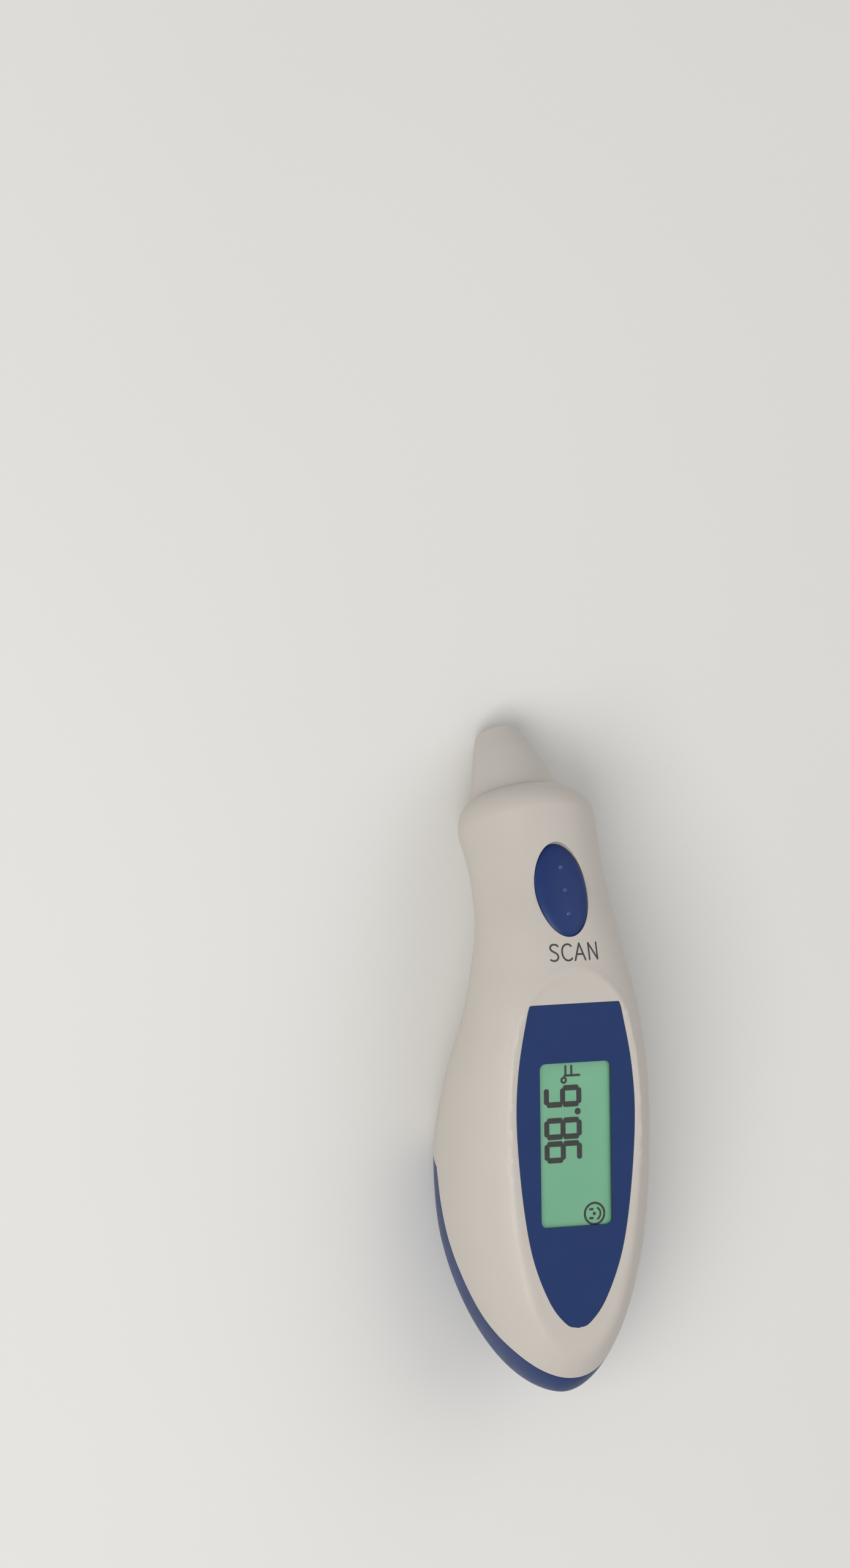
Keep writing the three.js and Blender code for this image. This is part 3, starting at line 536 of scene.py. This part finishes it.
CASING = plastic("casing_plastic", (200, 193, 185), 0.46, grain=0.8, strength=0.9, variation=0.012)
PROBE_PLASTIC = plastic("probe_plastic", (198, 192, 185), 0.44, grain=0.7, strength=0.7, variation=0.012)
COVER_BLUE = plastic("cover_plastic", (40, 60, 106), 0.45, variation=0.07, shine=0.35)
BUTTON_BLUE = plastic("button_plastic", (24, 50, 106), 0.42, grain=0.7, strength=0.12, shine=0.35)
# The dots' blue is lighter than the button's as a painted highlight; their lower roughness is a real
# gloss.
DOT_HIGHLIGHT_BLUE = plastic("dot_plastic_painted_highlight", (44, 80, 140), 0.22, grain=0.3, strength=0.05)
LABEL_BLUE = plastic("label_print", (34, 56, 104), 0.5, grain=0.6, strength=0.12, shine=0.2)
LCD_GREEN = lcd_material()
INK = plastic("segment_ink", (14, 15, 12), 0.6, variation=0.1, shine=0.1)
LETTER_INK = plastic("letter_ink", (66, 64, 64), 0.55, variation=0.12)
CLEAR = window_material()
BOARD = board_material()
BLACK = plastic("black_moulding", (34, 34, 36), 0.5, variation=0.15)
WHITE = plastic("white_moulding", (222, 222, 214), 0.5, variation=0.05)
STEEL = metal("plated_steel", (196, 198, 202), 0.28)
GOLD = metal("gold_plate", (214, 178, 104), 0.22)
RUBBER = plastic("rubber", (30, 30, 32), 0.75, grain=0.8, strength=0.4, variation=0.2)
FLEX = plastic("amber_flex", (178, 112, 44), 0.3, variation=0.15)
CERAMIC = plastic("capacitor_ceramic", (176, 142, 98), 0.4, variation=0.1)
INFRARED = plastic("infrared_window", (58, 60, 64), 0.2, grain=0.6, strength=0.05)


def finish(piece, material, body, slot, *nodes):
    """Gives a piece its material, ties it to its body and hides the CAD nodes it replaces. The slot is
    not used.
    """
    piece.data.materials.clear()
    piece.data.materials.append(material)
    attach(piece, body)
    if nodes:
        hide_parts(*nodes)


# ---------- Shells ----------

SKIN_COLUMNS = 168
END_ROWS = 70
ROWS_PER_SECTION = 20
SHOULDER_ROWS = 26
PROBE_COLUMNS = 96


def skin_solid(name, inset, columns, end_rows, rows_per_section, shoulder_rows, facet):
    """The whole casing as one solid, moved in by inset, with or without the display's facet."""
    stations = list(np.linspace(0, 1, end_rows + 1)[1:])
    stations += list(np.linspace(1, COLLAR, (COLLAR - 1) * rows_per_section + 1)[1:])
    stations += list(np.linspace(COLLAR, COLLAR + 1, shoulder_rows + 1)[1:])
    rings = []
    for station in stations:
        angles = seam_columns(station, columns // 2)
        row = skin_row(station, angles, facet)
        if inset:
            row = row - inset * skin_normals(station, angles)
        rings.append(row)
    return rings_object(name, rings)


def offset_line(points, dy, dz):
    return [(y + dy, z + dz) for y, z in points]


def smooth_line(points, steps):
    """A Catmull-Rom curve through points."""
    points = np.asarray(points, float)
    ghost = np.vstack([2 * points[0] - points[1], points, 2 * points[-1] - points[-2]])
    out = []
    for i in range(1, len(ghost) - 2):
        for u in np.arange(steps) / steps:
            p0, p1, p2, p3 = ghost[i - 1:i + 3]
            out.append(
                0.5 * ((2 * p1) + (p2 - p0) * u + (2 * p0 - 5 * p1 + 4 * p2 - p3) * u * u
                       + (3 * p1 - p0 - 3 * p2 + p3) * u ** 3)
            )
    return np.vstack([out, points[-1]])


def zones():
    """The side views of the front shell, the battery cover and the back shell.

    Each follows the seam, then goes round through corners that lie outside the thermometer.
    """
    half = SEAM_GAP / 2
    end_y = SEAM_AT_END[0][0]
    start = [tuple(point) for point in smooth_line(SEAM_AT_END[2:], 4)]
    line = [*SEAM_AT_END[:2], *start, *SEAM_CORNER]
    neck = [tuple(point) for point in smooth_line(SEAM_ON_NECK, 5)]
    front = offset_line(line + neck, half / 2, half)
    front += [(150, -19), (150, 40), (end_y + half / 2, 40)]
    cover = [(-10, 40), (end_y - half, 40), *offset_line(line, -half, -half)]
    cover += [(COVER_TOP - half, -30), (-10, -30)]
    rear = offset_line([SEAM_CORNER[1], *neck], half, -half)
    rear += [(124, -40), (COVER_TOP + half, -30)]
    return {"front": front, "cover": cover, "rear": rear}


def label_outline(grow=0.0):
    """The boat-shaped outline of the display panel, in the display's own frame."""
    side = smooth_line([
        (10 + grow, LABEL_HIGH + grow),
        (12.3 + grow, 67.5),
        (13 + grow, 56),
        (11.9 + grow, 41),
        (9.8 + grow, 28.9),
        (6.2 + grow, 19.7),
        (2.6 + grow / 2, 15.1 - grow / 2),
        (0, LABEL_LOW - grow),
    ], 10)
    corner = 0.5
    top = LABEL_HIGH + grow
    angles = np.linspace(0, math.pi / 2, 6)[::-1]
    rounded = [
        (10 + grow - corner + corner * math.cos(a), top - corner + corner * math.sin(a))
        for a in angles
    ]
    right = np.vstack([rounded, side[side[:, 1] < top - corner - 0.4]])
    left = right[:-1][::-1] * (-1, 1)
    outline = np.vstack([right, left])[::-1]
    return outline - (0, WINDOW_MIDDLE)


def rounded_rectangle(half_width, low, high, corner, steps=6):
    centres = [
        (half_width - corner, high - corner, 0),
        (-half_width + corner, high - corner, 1),
        (-half_width + corner, low + corner, 2),
        (half_width - corner, low + corner, 3),
    ]
    return np.array([
        (x + corner * math.cos(a), y + corner * math.sin(a))
        for x, y, turn in centres
        for a in (np.linspace(0, 1, steps + 1) + turn) * math.pi / 2
    ])


def ellipse_outline(half_width, half_length, count=96):
    angles = np.linspace(0, 2 * math.pi, count, endpoint=False)
    return np.column_stack([half_width * np.cos(angles), half_length * np.sin(angles)])


def probe_rings(inset, tip_cut, start=-3.2):
    """Rings of the probe's cone, moved in by inset and shortened by tip_cut."""
    straight = [(start, 9.3), (0, 9.3), (1.2, 9.05), (3.2, 8.45), (6.5, 7.5), (10.5, 6.35)]
    curve = smooth_line(straight, 6)
    edge = 1.0
    rows = [(d, r - inset) for d, r in curve]
    for angle in np.linspace(0, math.radians(86), 9):
        rows.append((
            PROBE_LENGTH - tip_cut - edge * (1 - math.sin(angle)),
            TIP_RADIUS - inset - edge * (1 - math.cos(angle)),
        ))
    angles = np.linspace(0, 2 * math.pi, PROBE_COLUMNS, endpoint=False)
    rings = []
    for distance, radius in rows:
        lean = CREASE_LEAN + (TIP_LEAN - CREASE_LEAN) * max(0, distance / PROBE_LENGTH)
        upward = radius * np.cos(angles)
        rings.append(np.column_stack([
            radius * np.sin(angles),
            CREASE_Y + distance * math.cos(PROBE_LEAN) + upward * math.sin(lean),
            CREASE_Z - distance * math.sin(PROBE_LEAN) + upward * math.cos(lean),
        ]))
    return rings


def make_shells():
    outer = skin_solid("outer", 0, SKIN_COLUMNS, END_ROWS, ROWS_PER_SECTION, SHOULDER_ROWS, True)
    cavity = skin_solid("cavity", WALL, 72, 24, 6, 6, False)
    ceiling = prism("ceiling", rounded_rectangle(30, -70, 33.5, 1), -2.8, 20, DISPLAY)
    boolean(cavity, ceiling, "DIFFERENCE")
    hole = rings_object("hole", probe_rings(-0.12, -4))
    for cutter in (cavity, hole):
        boolean(outer, cutter, "DIFFERENCE")
    shells = {}
    for name, side_view in zones().items():
        shell = outer.copy()
        shell.data = outer.data.copy()
        bpy.context.scene.collection.objects.link(shell)
        zone = side_cutter("zone", side_view)
        boolean(shell, zone, "INTERSECT")
        shells[name] = shell
        discard(zone)
    discard(outer, cavity, ceiling, hole)
    return shells


def cut_with(piece, *cutters):
    for cutter in cutters:
        boolean(piece, cutter, "DIFFERENCE")
    discard(*cutters)


def floor_cutter(height):
    """A box below a height above the plane the thermometer rests on."""
    corners = [
        BODY_TO_ROW.inverted() @ Vector((x, y, z))
        for z in (-0.02, height / 1000)
        for x, y in ((-0.06, -0.12), (0.06, -0.12), (0.06, 0.12), (-0.06, 0.12))
    ]
    sides = [(0, 1, 5, 4), (1, 2, 6, 5), (2, 3, 7, 6), (3, 0, 4, 7)]
    return new_object("floor_cutter", corners, [(3, 2, 1, 0), (4, 5, 6, 7), *sides])


CASING_SCREWS = [(-14.8, 60, -4.5), (14.8, 60, -4.5), (-8.6, 87, -1.5), (8.6, 87, -1.5)]
CASING_SCREW_LENGTH = 7
SCREW_SEAT = 2.6  # how far behind the casing's joint the seat of a screw's head lies
SCREW_GAP = 0.2  # between that seat and the head
TRAY_SCREWS = [(-14.6, 41), (14.6, 41)]
TRAY_SCREW_Z, TRAY_SCREW_LENGTH = -5.8, 5
THREAD_PITCH = 0.35


def finish_shells(shells):
    front, rear, cover = shells["front"], shells["rear"], shells["cover"]
    inner = rounded_rectangle(
        WINDOW_HALF_WIDTH + 0.4, -WINDOW_HALF_LENGTH - 0.4, WINDOW_HALF_LENGTH + 0.4, 1
    )
    cut_with(
        front,
        prism("recess", label_outline(0.07), -0.9, 6, DISPLAY),
        prism("opening", inner, -6, 6, DISPLAY),
        prism("hole", ellipse_outline(BUTTON_HALF_WIDTH + 0.12, BUTTON_HALF_LENGTH + 0.12),
              -8, 8, BUTTON),
    )
    soften_edges(front, 0.14)
    front.name = "shell_front"
    finish(front, CASING, "handset", "casing", "front_casing")

    for x, y, split in CASING_SCREWS:
        at = Matrix.Translation((x, y, 0))
        sleeve = turned("sleeve", [(2.9, split - 12), (2.9, split - 0.3)], at, 40)
        boolean(rear, sleeve, "UNION")
        discard(sleeve)
        cut_with(
            rear,
            turned("bore", [(1.15, -40), (1.15, 10)], at, 32),
            turned("seat", [(2.1, -40), (2.1, split - SCREW_SEAT)], at, 40),
        )
    trim = skin_solid("trim", 0.02, 120, 30, 10, 10, False)
    boolean(rear, trim, "INTERSECT")
    discard(trim)
    cut_with(rear, floor_cutter(REAR_CLEARANCE))
    soften_edges(rear, 0.14)
    rear.name = "shell_rear"
    finish(rear, CASING, "handset", "casing", "rear_casing")

    cut_with(cover, floor_cutter(0))
    soften_edges(cover, 0.16)
    cover.name = "shell_cover"
    finish(cover, COVER_BLUE, "cover", "cover", "battery_cover")


# ---------- Probe ----------


def make_probe():
    probe = rings_object("ear_probe", probe_rings(0, 0))
    hollow = rings_object("hollow", probe_rings(PROBE_WALL, 1.2, -6))
    mouth = turned("mouth", [(APERTURE, PROBE_LENGTH - 4), (APERTURE, PROBE_LENGTH + 4)], PROBE)
    cut_with(probe, hollow, mouth)
    soften_edges(probe, 0.12, angle=50)
    finish(probe, PROBE_PLASTIC, "handset", "probe", "probe_cone")
    tip = PROBE_LENGTH
    lens = turned("tip_window", [
        (0.01, tip - 1), (3.1, tip - 1), (3.1, tip - 0.62), (3.0, tip - 0.52), (0.01, tip - 0.5),
    ], PROBE)
    finish(lens, INFRARED, "handset", "infrared_window", "probe_window")


# ---------- Display ----------


def make_display():
    panel = rounded_plate("label_panel", label_outline(), -0.5, 0.02, 0.12, DISPLAY)
    window = rounded_rectangle(WINDOW_HALF_WIDTH, -WINDOW_HALF_LENGTH, WINDOW_HALF_LENGTH, 1.25)
    cut_with(panel, prism("window", window, -2, 2, DISPLAY))
    flatten_faces(panel)
    finish(panel, LABEL_BLUE, "handset", "label", "display_panel")

    lens_outline = rounded_rectangle(
        WINDOW_HALF_WIDTH + 1.2, -WINDOW_HALF_LENGTH - 1.2, WINDOW_HALF_LENGTH + 1.2, 1
    )
    lens = rounded_plate("display_lens", lens_outline, -0.9, -0.6, 0.05, DISPLAY, 2)
    flatten_faces(lens)
    finish(lens, CLEAR, "handset", "clear", "display_window")
    glass_outline = rounded_rectangle(
        WINDOW_HALF_WIDTH + 0.1, -WINDOW_HALF_LENGTH - 0.1, WINDOW_HALF_LENGTH + 0.1, 0.4
    )
    glass = rounded_plate("display_glass", glass_outline, -2.4, -1.0, 0.05, DISPLAY, 2)
    flatten_faces(glass)
    finish(glass, LCD_GREEN, "handset", "lcd", "lcd_glass")


FIGURE_HEIGHT = -1.0  # the glass's upper face
INK_DEPTH = 0.03
INK_STROKE = 0.46


def stroke_outline(points, width, cap=6):
    """The outline of a line of even width through points, with round ends."""
    points = np.asarray(points, float)
    tangent = np.gradient(points, axis=0)
    tangent /= np.linalg.norm(tangent, axis=1, keepdims=True)
    normal = np.column_stack([-tangent[:, 1], tangent[:, 0]])
    left, right = points + normal * width / 2, points - normal * width / 2

    def end(centre, direction):
        start = math.atan2(direction[1], direction[0]) + math.pi / 2
        return [
            centre + width / 2 * np.array([math.cos(start - a), math.sin(start - a)])
            for a in np.linspace(0, math.pi, cap + 2)[1:-1]
        ]

    outline = [*left, *end(points[-1], tangent[-1]), *right[::-1], *end(points[0], -tangent[0])]
    return np.array(outline)[::-1]


def arc(x, y, radius, start, end, count=16):
    angles = np.radians(np.linspace(start, end, count))
    return np.column_stack([x + radius * np.cos(angles), y + radius * np.sin(angles)])


# The seven segments of a figure, in a cell 1 wide and 2 high; each is a line between two points.
SEGMENTS = {
    "top": ((0, 2), (1, 2)),
    "upper_right": ((1, 2), (1, 1)),
    "lower_right": ((1, 1), (1, 0)),
    "bottom": ((1, 0), (0, 0)),
    "lower_left": ((0, 0), (0, 1)),
    "upper_left": ((0, 1), (0, 2)),
    "middle": ((0, 1), (1, 1)),
}
FIGURES = {
    "9": ("top", "upper_right", "lower_right", "bottom", "upper_left", "middle"),
    "8": tuple(SEGMENTS),
    "6": ("top", "lower_right", "bottom", "lower_left", "upper_left", "middle"),
}


def segment_outline(start, end, width):
    """A bar with pointed ends between two corners of a figure's cell."""
    start, end = np.array(start, float), np.array(end, float)
    along = (end - start) / np.linalg.norm(end - start)
    side = np.array([-along[1], along[0]])
    gap, half = 0.05, width / 2
    blunt = half * 0.45
    corners = [(gap, blunt), (gap + half - blunt, half)]
    near = [start + along * d - side * w for d, w in corners]
    far = [end - along * d - side * w for d, w in corners[::-1]]
    back = [end - along * d + side * w for d, w in corners]
    home = [start + along * d + side * w for d, w in corners[::-1]]
    return np.array([*near, *far, *back, *home])


def turned_up(points):
    """Figures read along +Y, with their tops towards -X."""
    points = np.asarray(points, float)
    return np.column_stack([-points[:, 1], points[:, 0]])


def ink_pieces():
    """Outlines of everything that the display shows, in its own frame."""
    outlines = []
    baseline, height, width, bar = -1.15, 7.15, 3.3, 1.12
    starts = {"9": -3.1, "8": 1.6, "6": 8.1}
    for figure, start in starts.items():
        for segment in FIGURES[figure]:
            ends = [
                (start + x * width, baseline + y * height / 2) for x, y in SEGMENTS[segment]
            ]
            outlines.append(turned_up(segment_outline(*ends, bar)))
    outlines.append(turned_up(arc(6.55, -0.85, 0.68, 0, 342, 18)))
    degree = arc(12.95, 2.15, 0.5, 0, 325, 20)
    letter_f = [
        [(13.85, -1.3), (13.85, 1.95)],
        [(13.95, 1.75), (15.75, 1.75)],
        [(13.95, 0.45), (15.75, 0.45)],
    ]
    for line in (degree, *letter_f):
        outlines.append(turned_up(stroke_outline(line, INK_STROKE)))
    face_x, face_y = 4.3, -14.3
    outlines.append(stroke_outline(arc(face_x, face_y, 2.15, 0, 350, 48), INK_STROKE))
    outlines.append(stroke_outline(arc(face_x, face_y, 1.3, -58, 58, 20), 0.4))
    for side in (-1, 1):
        x, y = face_x - 0.7, face_y + side * 0.9
        outlines.append(stroke_outline([(x - 0.25, y), (x + 0.25, y)], 0.5))
    outlines.append(arc(face_x - 0.05, face_y, 0.36, 0, 340, 14))
    return outlines


def join_plates(name, outlines, bottom, top, local):
    vertices, faces = [], []
    for outline in outlines:
        count, base = len(outline), len(vertices)
        for height in (bottom, top):
            vertices += [(x, y, height) for x, y in outline]
        faces += [tuple(base + i for i in face) for face in tube_faces(2, count)]
    return new_object(name, vertices, faces, local)


def make_figures():
    figures = join_plates(
        "display_figures", ink_pieces(), FIGURE_HEIGHT + 0.004, FIGURE_HEIGHT + INK_DEPTH, DISPLAY
    )
    finish(figures, INK, "handset", "black")


# ---------- Lettering ----------

LETTERS = {
    "S": [[(0.95, 2.9), (0.75, 3.15), (0.3, 3.25), (-0.2, 3.2), (-0.55, 2.9), (-0.62, 2.45),
           (-0.35, 2.05), (0.15, 1.75), (0.65, 1.4), (0.85, 0.95), (0.72, 0.45), (0.3, 0.15),
           (-0.25, 0.08), (-0.75, 0.3)]],
    "C": [[(1.05, 2.85), (0.7, 3.15), (0.2, 3.25), (-0.4, 3.05), (-0.85, 2.5), (-1.0, 1.65),
           (-0.85, 0.85), (-0.4, 0.25), (0.2, 0.08), (0.7, 0.18), (1.05, 0.45)]],
    "A": [[(-1.15, 0.05), (0, 3.3)], [(0, 3.3), (1.15, 0.05)], [(-0.72, 1.2), (0.72, 1.2)]],
    "N": [[(-0.95, 0.05), (-0.95, 3.25)], [(-0.95, 3.25), (0.95, 0.05)], [(0.95, 0.05), (0.95, 3.25)]],
}
LETTER_PLACES = {"S": -3.9, "C": -1.15, "A": 1.7, "N": 4.75}
LETTER_BASE = 88.1  # y of the letters' feet
LETTER_STROKE = 0.36
LETTER_DEPTH = 0.02
DROP_HEIGHT = 40.0  # z from which the letters are dropped onto the casing


def make_lettering(front):
    outlines = []
    for letter, strokes in LETTERS.items():
        for stroke in strokes:
            line = smooth_line(stroke, 4) if len(stroke) > 2 else np.linspace(*stroke, 12)
            moved = np.asarray(line, float) + (LETTER_PLACES[letter], LETTER_BASE)
            outlines.append(stroke_outline(moved, LETTER_STROKE, 4))
    top = DROP_HEIGHT + LETTER_DEPTH
    piece = join_plates("scan_lettering", outlines, DROP_HEIGHT, top, Matrix.Identity(4))
    drape(piece, front, DROP_HEIGHT, 0.02)
    finish(piece, LETTER_INK, "handset", "black")


def drape(piece, onto, height, lift):
    """Drops a flat piece along the body's -Z onto a surface, and keeps its thickness."""
    down = (BODY_TO_ROW.to_3x3() @ Vector((0, 0, -1))).normalized()
    inverse = BODY_TO_ROW.inverted()
    for vertex in piece.data.vertices:
        body_place = inverse @ vertex.co
        start = BODY_TO_ROW @ Vector((body_place.x, body_place.y, height))
        hit, place, _, _ = onto.ray_cast(start, down)
        if hit:
            extra = (body_place.z - height + lift) / 1000
            vertex.co = place - down * extra


# ---------- Button ----------


def button_height(x, y):
    share = (x / BUTTON_HALF_WIDTH) ** 2 + (y / BUTTON_HALF_LENGTH) ** 2
    rim = -0.9
    return rim + (BUTTON_RISE - rim) * math.sqrt(max(1 - 0.985 * share, 0))


def make_button():
    outline = ellipse_outline(BUTTON_HALF_WIDTH, BUTTON_HALF_LENGTH, 120)
    rings = [np.column_stack([outline, np.full(120, height)]) for height in (-4.0, -1.6, -1.2)]
    for share in (1.0, 0.995, 0.985, 0.97, 0.945, 0.91, 0.86, 0.8, 0.72, 0.62, 0.5, 0.36, 0.2, 0.06):
        heights = [button_height(x, y) for x, y in outline * share]
        rings.append(np.column_stack([outline * share, heights]))
    cap = rings_object("button_cap", rings, BUTTON)
    smooth(cap)
    flange_outline = ellipse_outline(
        BUTTON_HALF_WIDTH + BUTTON_FLANGE, BUTTON_HALF_LENGTH + BUTTON_FLANGE
    )
    flange = rounded_plate("button_flange", flange_outline, -4.8, -3.8, 0.1, BUTTON)
    boolean(cap, flange, "UNION")
    discard(flange)
    smooth(cap)
    finish(cap, BUTTON_BLUE, "button", "button", "scan_button")


def make_button_dots():
    """Three raised dots down the middle of the button, for the thumb to find it."""
    dots = []
    for y in BUTTON_DOTS:
        top = button_height(0, y)
        dots.append(turned("button_dots", [
            (0.55, top - 0.3), (0.54, top + 0.02), (0.47, top + 0.15), (0.34, top + 0.24),
            (0.17, top + 0.29), (0.01, top + 0.3),
        ], BUTTON @ Matrix.Translation((0.1, y, 0)), 32))
    with bpy.context.temp_override(active_object=dots[0], selected_editable_objects=dots):
        bpy.ops.object.join()
    # Their lighter blue than the button's is a painted highlight.
    finish(dots[0], DOT_HIGHLIGHT_BLUE, "button", "button")


# ---------- Screws, cell and other inner pieces ----------


def make_screw(name, x, y, seat, length):
    at = Matrix.Translation((x, y, 0))
    head = 1.2
    profile = [(0.01, seat - head), (1.0, seat - head), (1.4, seat - head + 0.1),
               (1.7, seat - head + 0.35), (1.8, seat - 0.4), (1.8, seat - 0.05), (1.7, seat)]
    profile += [(0.9, seat), (0.9, seat + 0.4)]
    turns = int((length - 1.6) / THREAD_PITCH)
    for i in range(turns):
        height = seat + 0.5 + i * THREAD_PITCH
        profile += [(0.72, height), (0.95, height + 0.17)]
    profile += [(0.7, seat + length - 0.7), (0.01, seat + length)]
    screw = turned(name, profile, at, 36)
    arms = [
        prism("arm", rounded_rectangle(w, -l, l, 0.05, 2), seat - head - 0.5, seat - 0.5, at)
        for w, l in ((0.18, 1.05), (1.05, 0.18))
    ]
    cut_with(screw, *arms)
    finish(screw, STEEL, "handset", "steel", name)
    screw.name = "fitted_" + name


def make_cell():
    at = Matrix.Translation((0, CELL_Y, 0))
    low, high = CELL_Z - CELL_THICKNESS / 2, CELL_Z + CELL_THICKNESS / 2
    cell = turned("button_cell", [
        (0.01, low + 0.04), (8.6, low + 0.04), (8.9, low), (9.6, low), (9.85, low + 0.08),
        (CELL_RADIUS, low + 0.3), (CELL_RADIUS, high - 0.75), (9.9, high - 0.6), (8.9, high - 0.6),
        (8.8, high - 0.5), (8.5, high - 0.05), (8.4, high), (0.01, high),
    ], at, 96)
    finish(cell, STEEL, "handset", "steel", "coin_battery")


CAD_FINISH = {
    "battery_tray": WHITE, "switch_plunger": WHITE, "lcd_backlight": WHITE,
    "backlight_led_1": WHITE, "backlight_led_2": WHITE,
    "lcd_frame": BLACK, "microcontroller": BLACK, "buzzer": BLACK, "switch_body": BLACK,
    "main_board": BOARD, "switch_board": BOARD,
    "crystal": STEEL, "thermopile_sensor": STEEL, "board_screw_1": STEEL, "board_screw_2": STEEL,
    "switch_board_screw_1": STEEL, "switch_board_screw_2": STEEL,
    "battery_contact_negative": STEEL, "battery_contact_positive": STEEL,
    "waveguide_tube": GOLD, "sensor_holder": GOLD,
    "zebra_connector": RUBBER, "probe_seal": RUBBER,
    "sensor_cable": FLEX, "capacitor_1": CERAMIC, "capacitor_2": CERAMIC,
}


def finish_cad_nodes():
    for name, material in CAD_FINISH.items():
        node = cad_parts[name]
        node.data.materials.clear()
        node.data.materials.append(material)


# ---------- Stage, light and camera ----------

PICTURE_HEIGHT = 316.0  # what the picture spans from its lower edge to its upper one
VIEW_TURN, VIEW_RISE = math.radians(24), math.radians(6)
LENS, SENSOR = 200.0, 36.0


def view_axes():
    """Right, up and backward of the camera in the body frame."""
    c, s = math.cos(VIEW_TURN), math.sin(VIEW_TURN)
    back = Vector((-s * math.cos(VIEW_RISE), math.sin(VIEW_RISE), c * math.cos(VIEW_RISE)))
    right = Vector((c, 0, s))
    return right, back.cross(right), back


def make_camera():
    right, up, back = view_axes()
    # Where the picture's centre lies beside the body frame's origin, and how deep the body is.
    aim = right * -23.0 + up * 121.4 + back * 11
    distance = PICTURE_HEIGHT * LENS / SENSOR
    turn = tilt.to_3x3()
    matrix = Matrix((turn @ right, turn @ up, turn @ back)).transposed().to_4x4()
    matrix.translation = BODY_TO_ROW @ (aim + back * distance)
    data = bpy.data.cameras.new("camera")
    data.lens = LENS
    data.sensor_fit = "AUTO"
    data.sensor_width = SENSOR
    data.clip_end = 20
    camera = bpy.data.objects.new("camera", data)
    camera.matrix_world = matrix
    bpy.context.scene.collection.objects.link(camera)
    bpy.context.scene.camera = camera
    return matrix


def area_light(name, place, target, size, power, colour=(1, 1, 1)):
    data = bpy.data.lights.new(name, "AREA")
    data.shape = "RECTANGLE"
    data.size, data.size_y = size
    data.energy = power
    data.color = colour
    light = bpy.data.objects.new(name, data)
    light.location = place
    direction = Vector(target) - Vector(place)
    light.rotation_euler = direction.to_track_quat("-Z", "Y").to_euler()
    bpy.context.scene.collection.objects.link(light)


def make_stage():
    bpy.ops.mesh.primitive_plane_add(size=8, location=(0, 0, -0.0002))
    floor = bpy.context.object
    floor.name = "floor"
    nodes = Nodes("floor_paper")
    nodes.colours(nodes.noise(180, 2), linear(231, 230, 227), linear(234, 233, 230))
    nodes.set(Roughness=0.8)
    floor.data.materials.append(nodes.material)

    world = bpy.data.worlds.new("world")
    bpy.context.scene.world = world
    world.use_nodes = True
    world.node_tree.nodes["Background"].inputs["Color"].default_value = (1, 1, 1, 1)
    world.node_tree.nodes["Background"].inputs["Strength"].default_value = 0.42
    area_light("key", (-0.6, -0.2, 0.8), (0, 0, 0.02), (0.6, 0.6), 5.6, (1, 0.99, 0.97))
    area_light("fill", (0.5, 0.3, 0.8), (0, 0, 0.02), (0.9, 0.9), 1.6)
    view = bpy.context.scene.view_settings
    view.view_transform = "Standard"
    view.look = "None"


make_camera()
shells = make_shells()
finish_shells(shells)
make_probe()
make_display()
make_figures()
make_lettering(shells["front"])
make_button()
make_button_dots()
for number, (x, y, split) in enumerate(CASING_SCREWS, 1):
    make_screw(f"casing_screw_{number}", x, y, split - SCREW_SEAT - SCREW_GAP, CASING_SCREW_LENGTH)
for number, (x, y) in enumerate(TRAY_SCREWS, 1):
    make_screw(f"tray_screw_{number}", x, y, TRAY_SCREW_Z, TRAY_SCREW_LENGTH)
make_cell()
finish_cad_nodes()
make_stage()
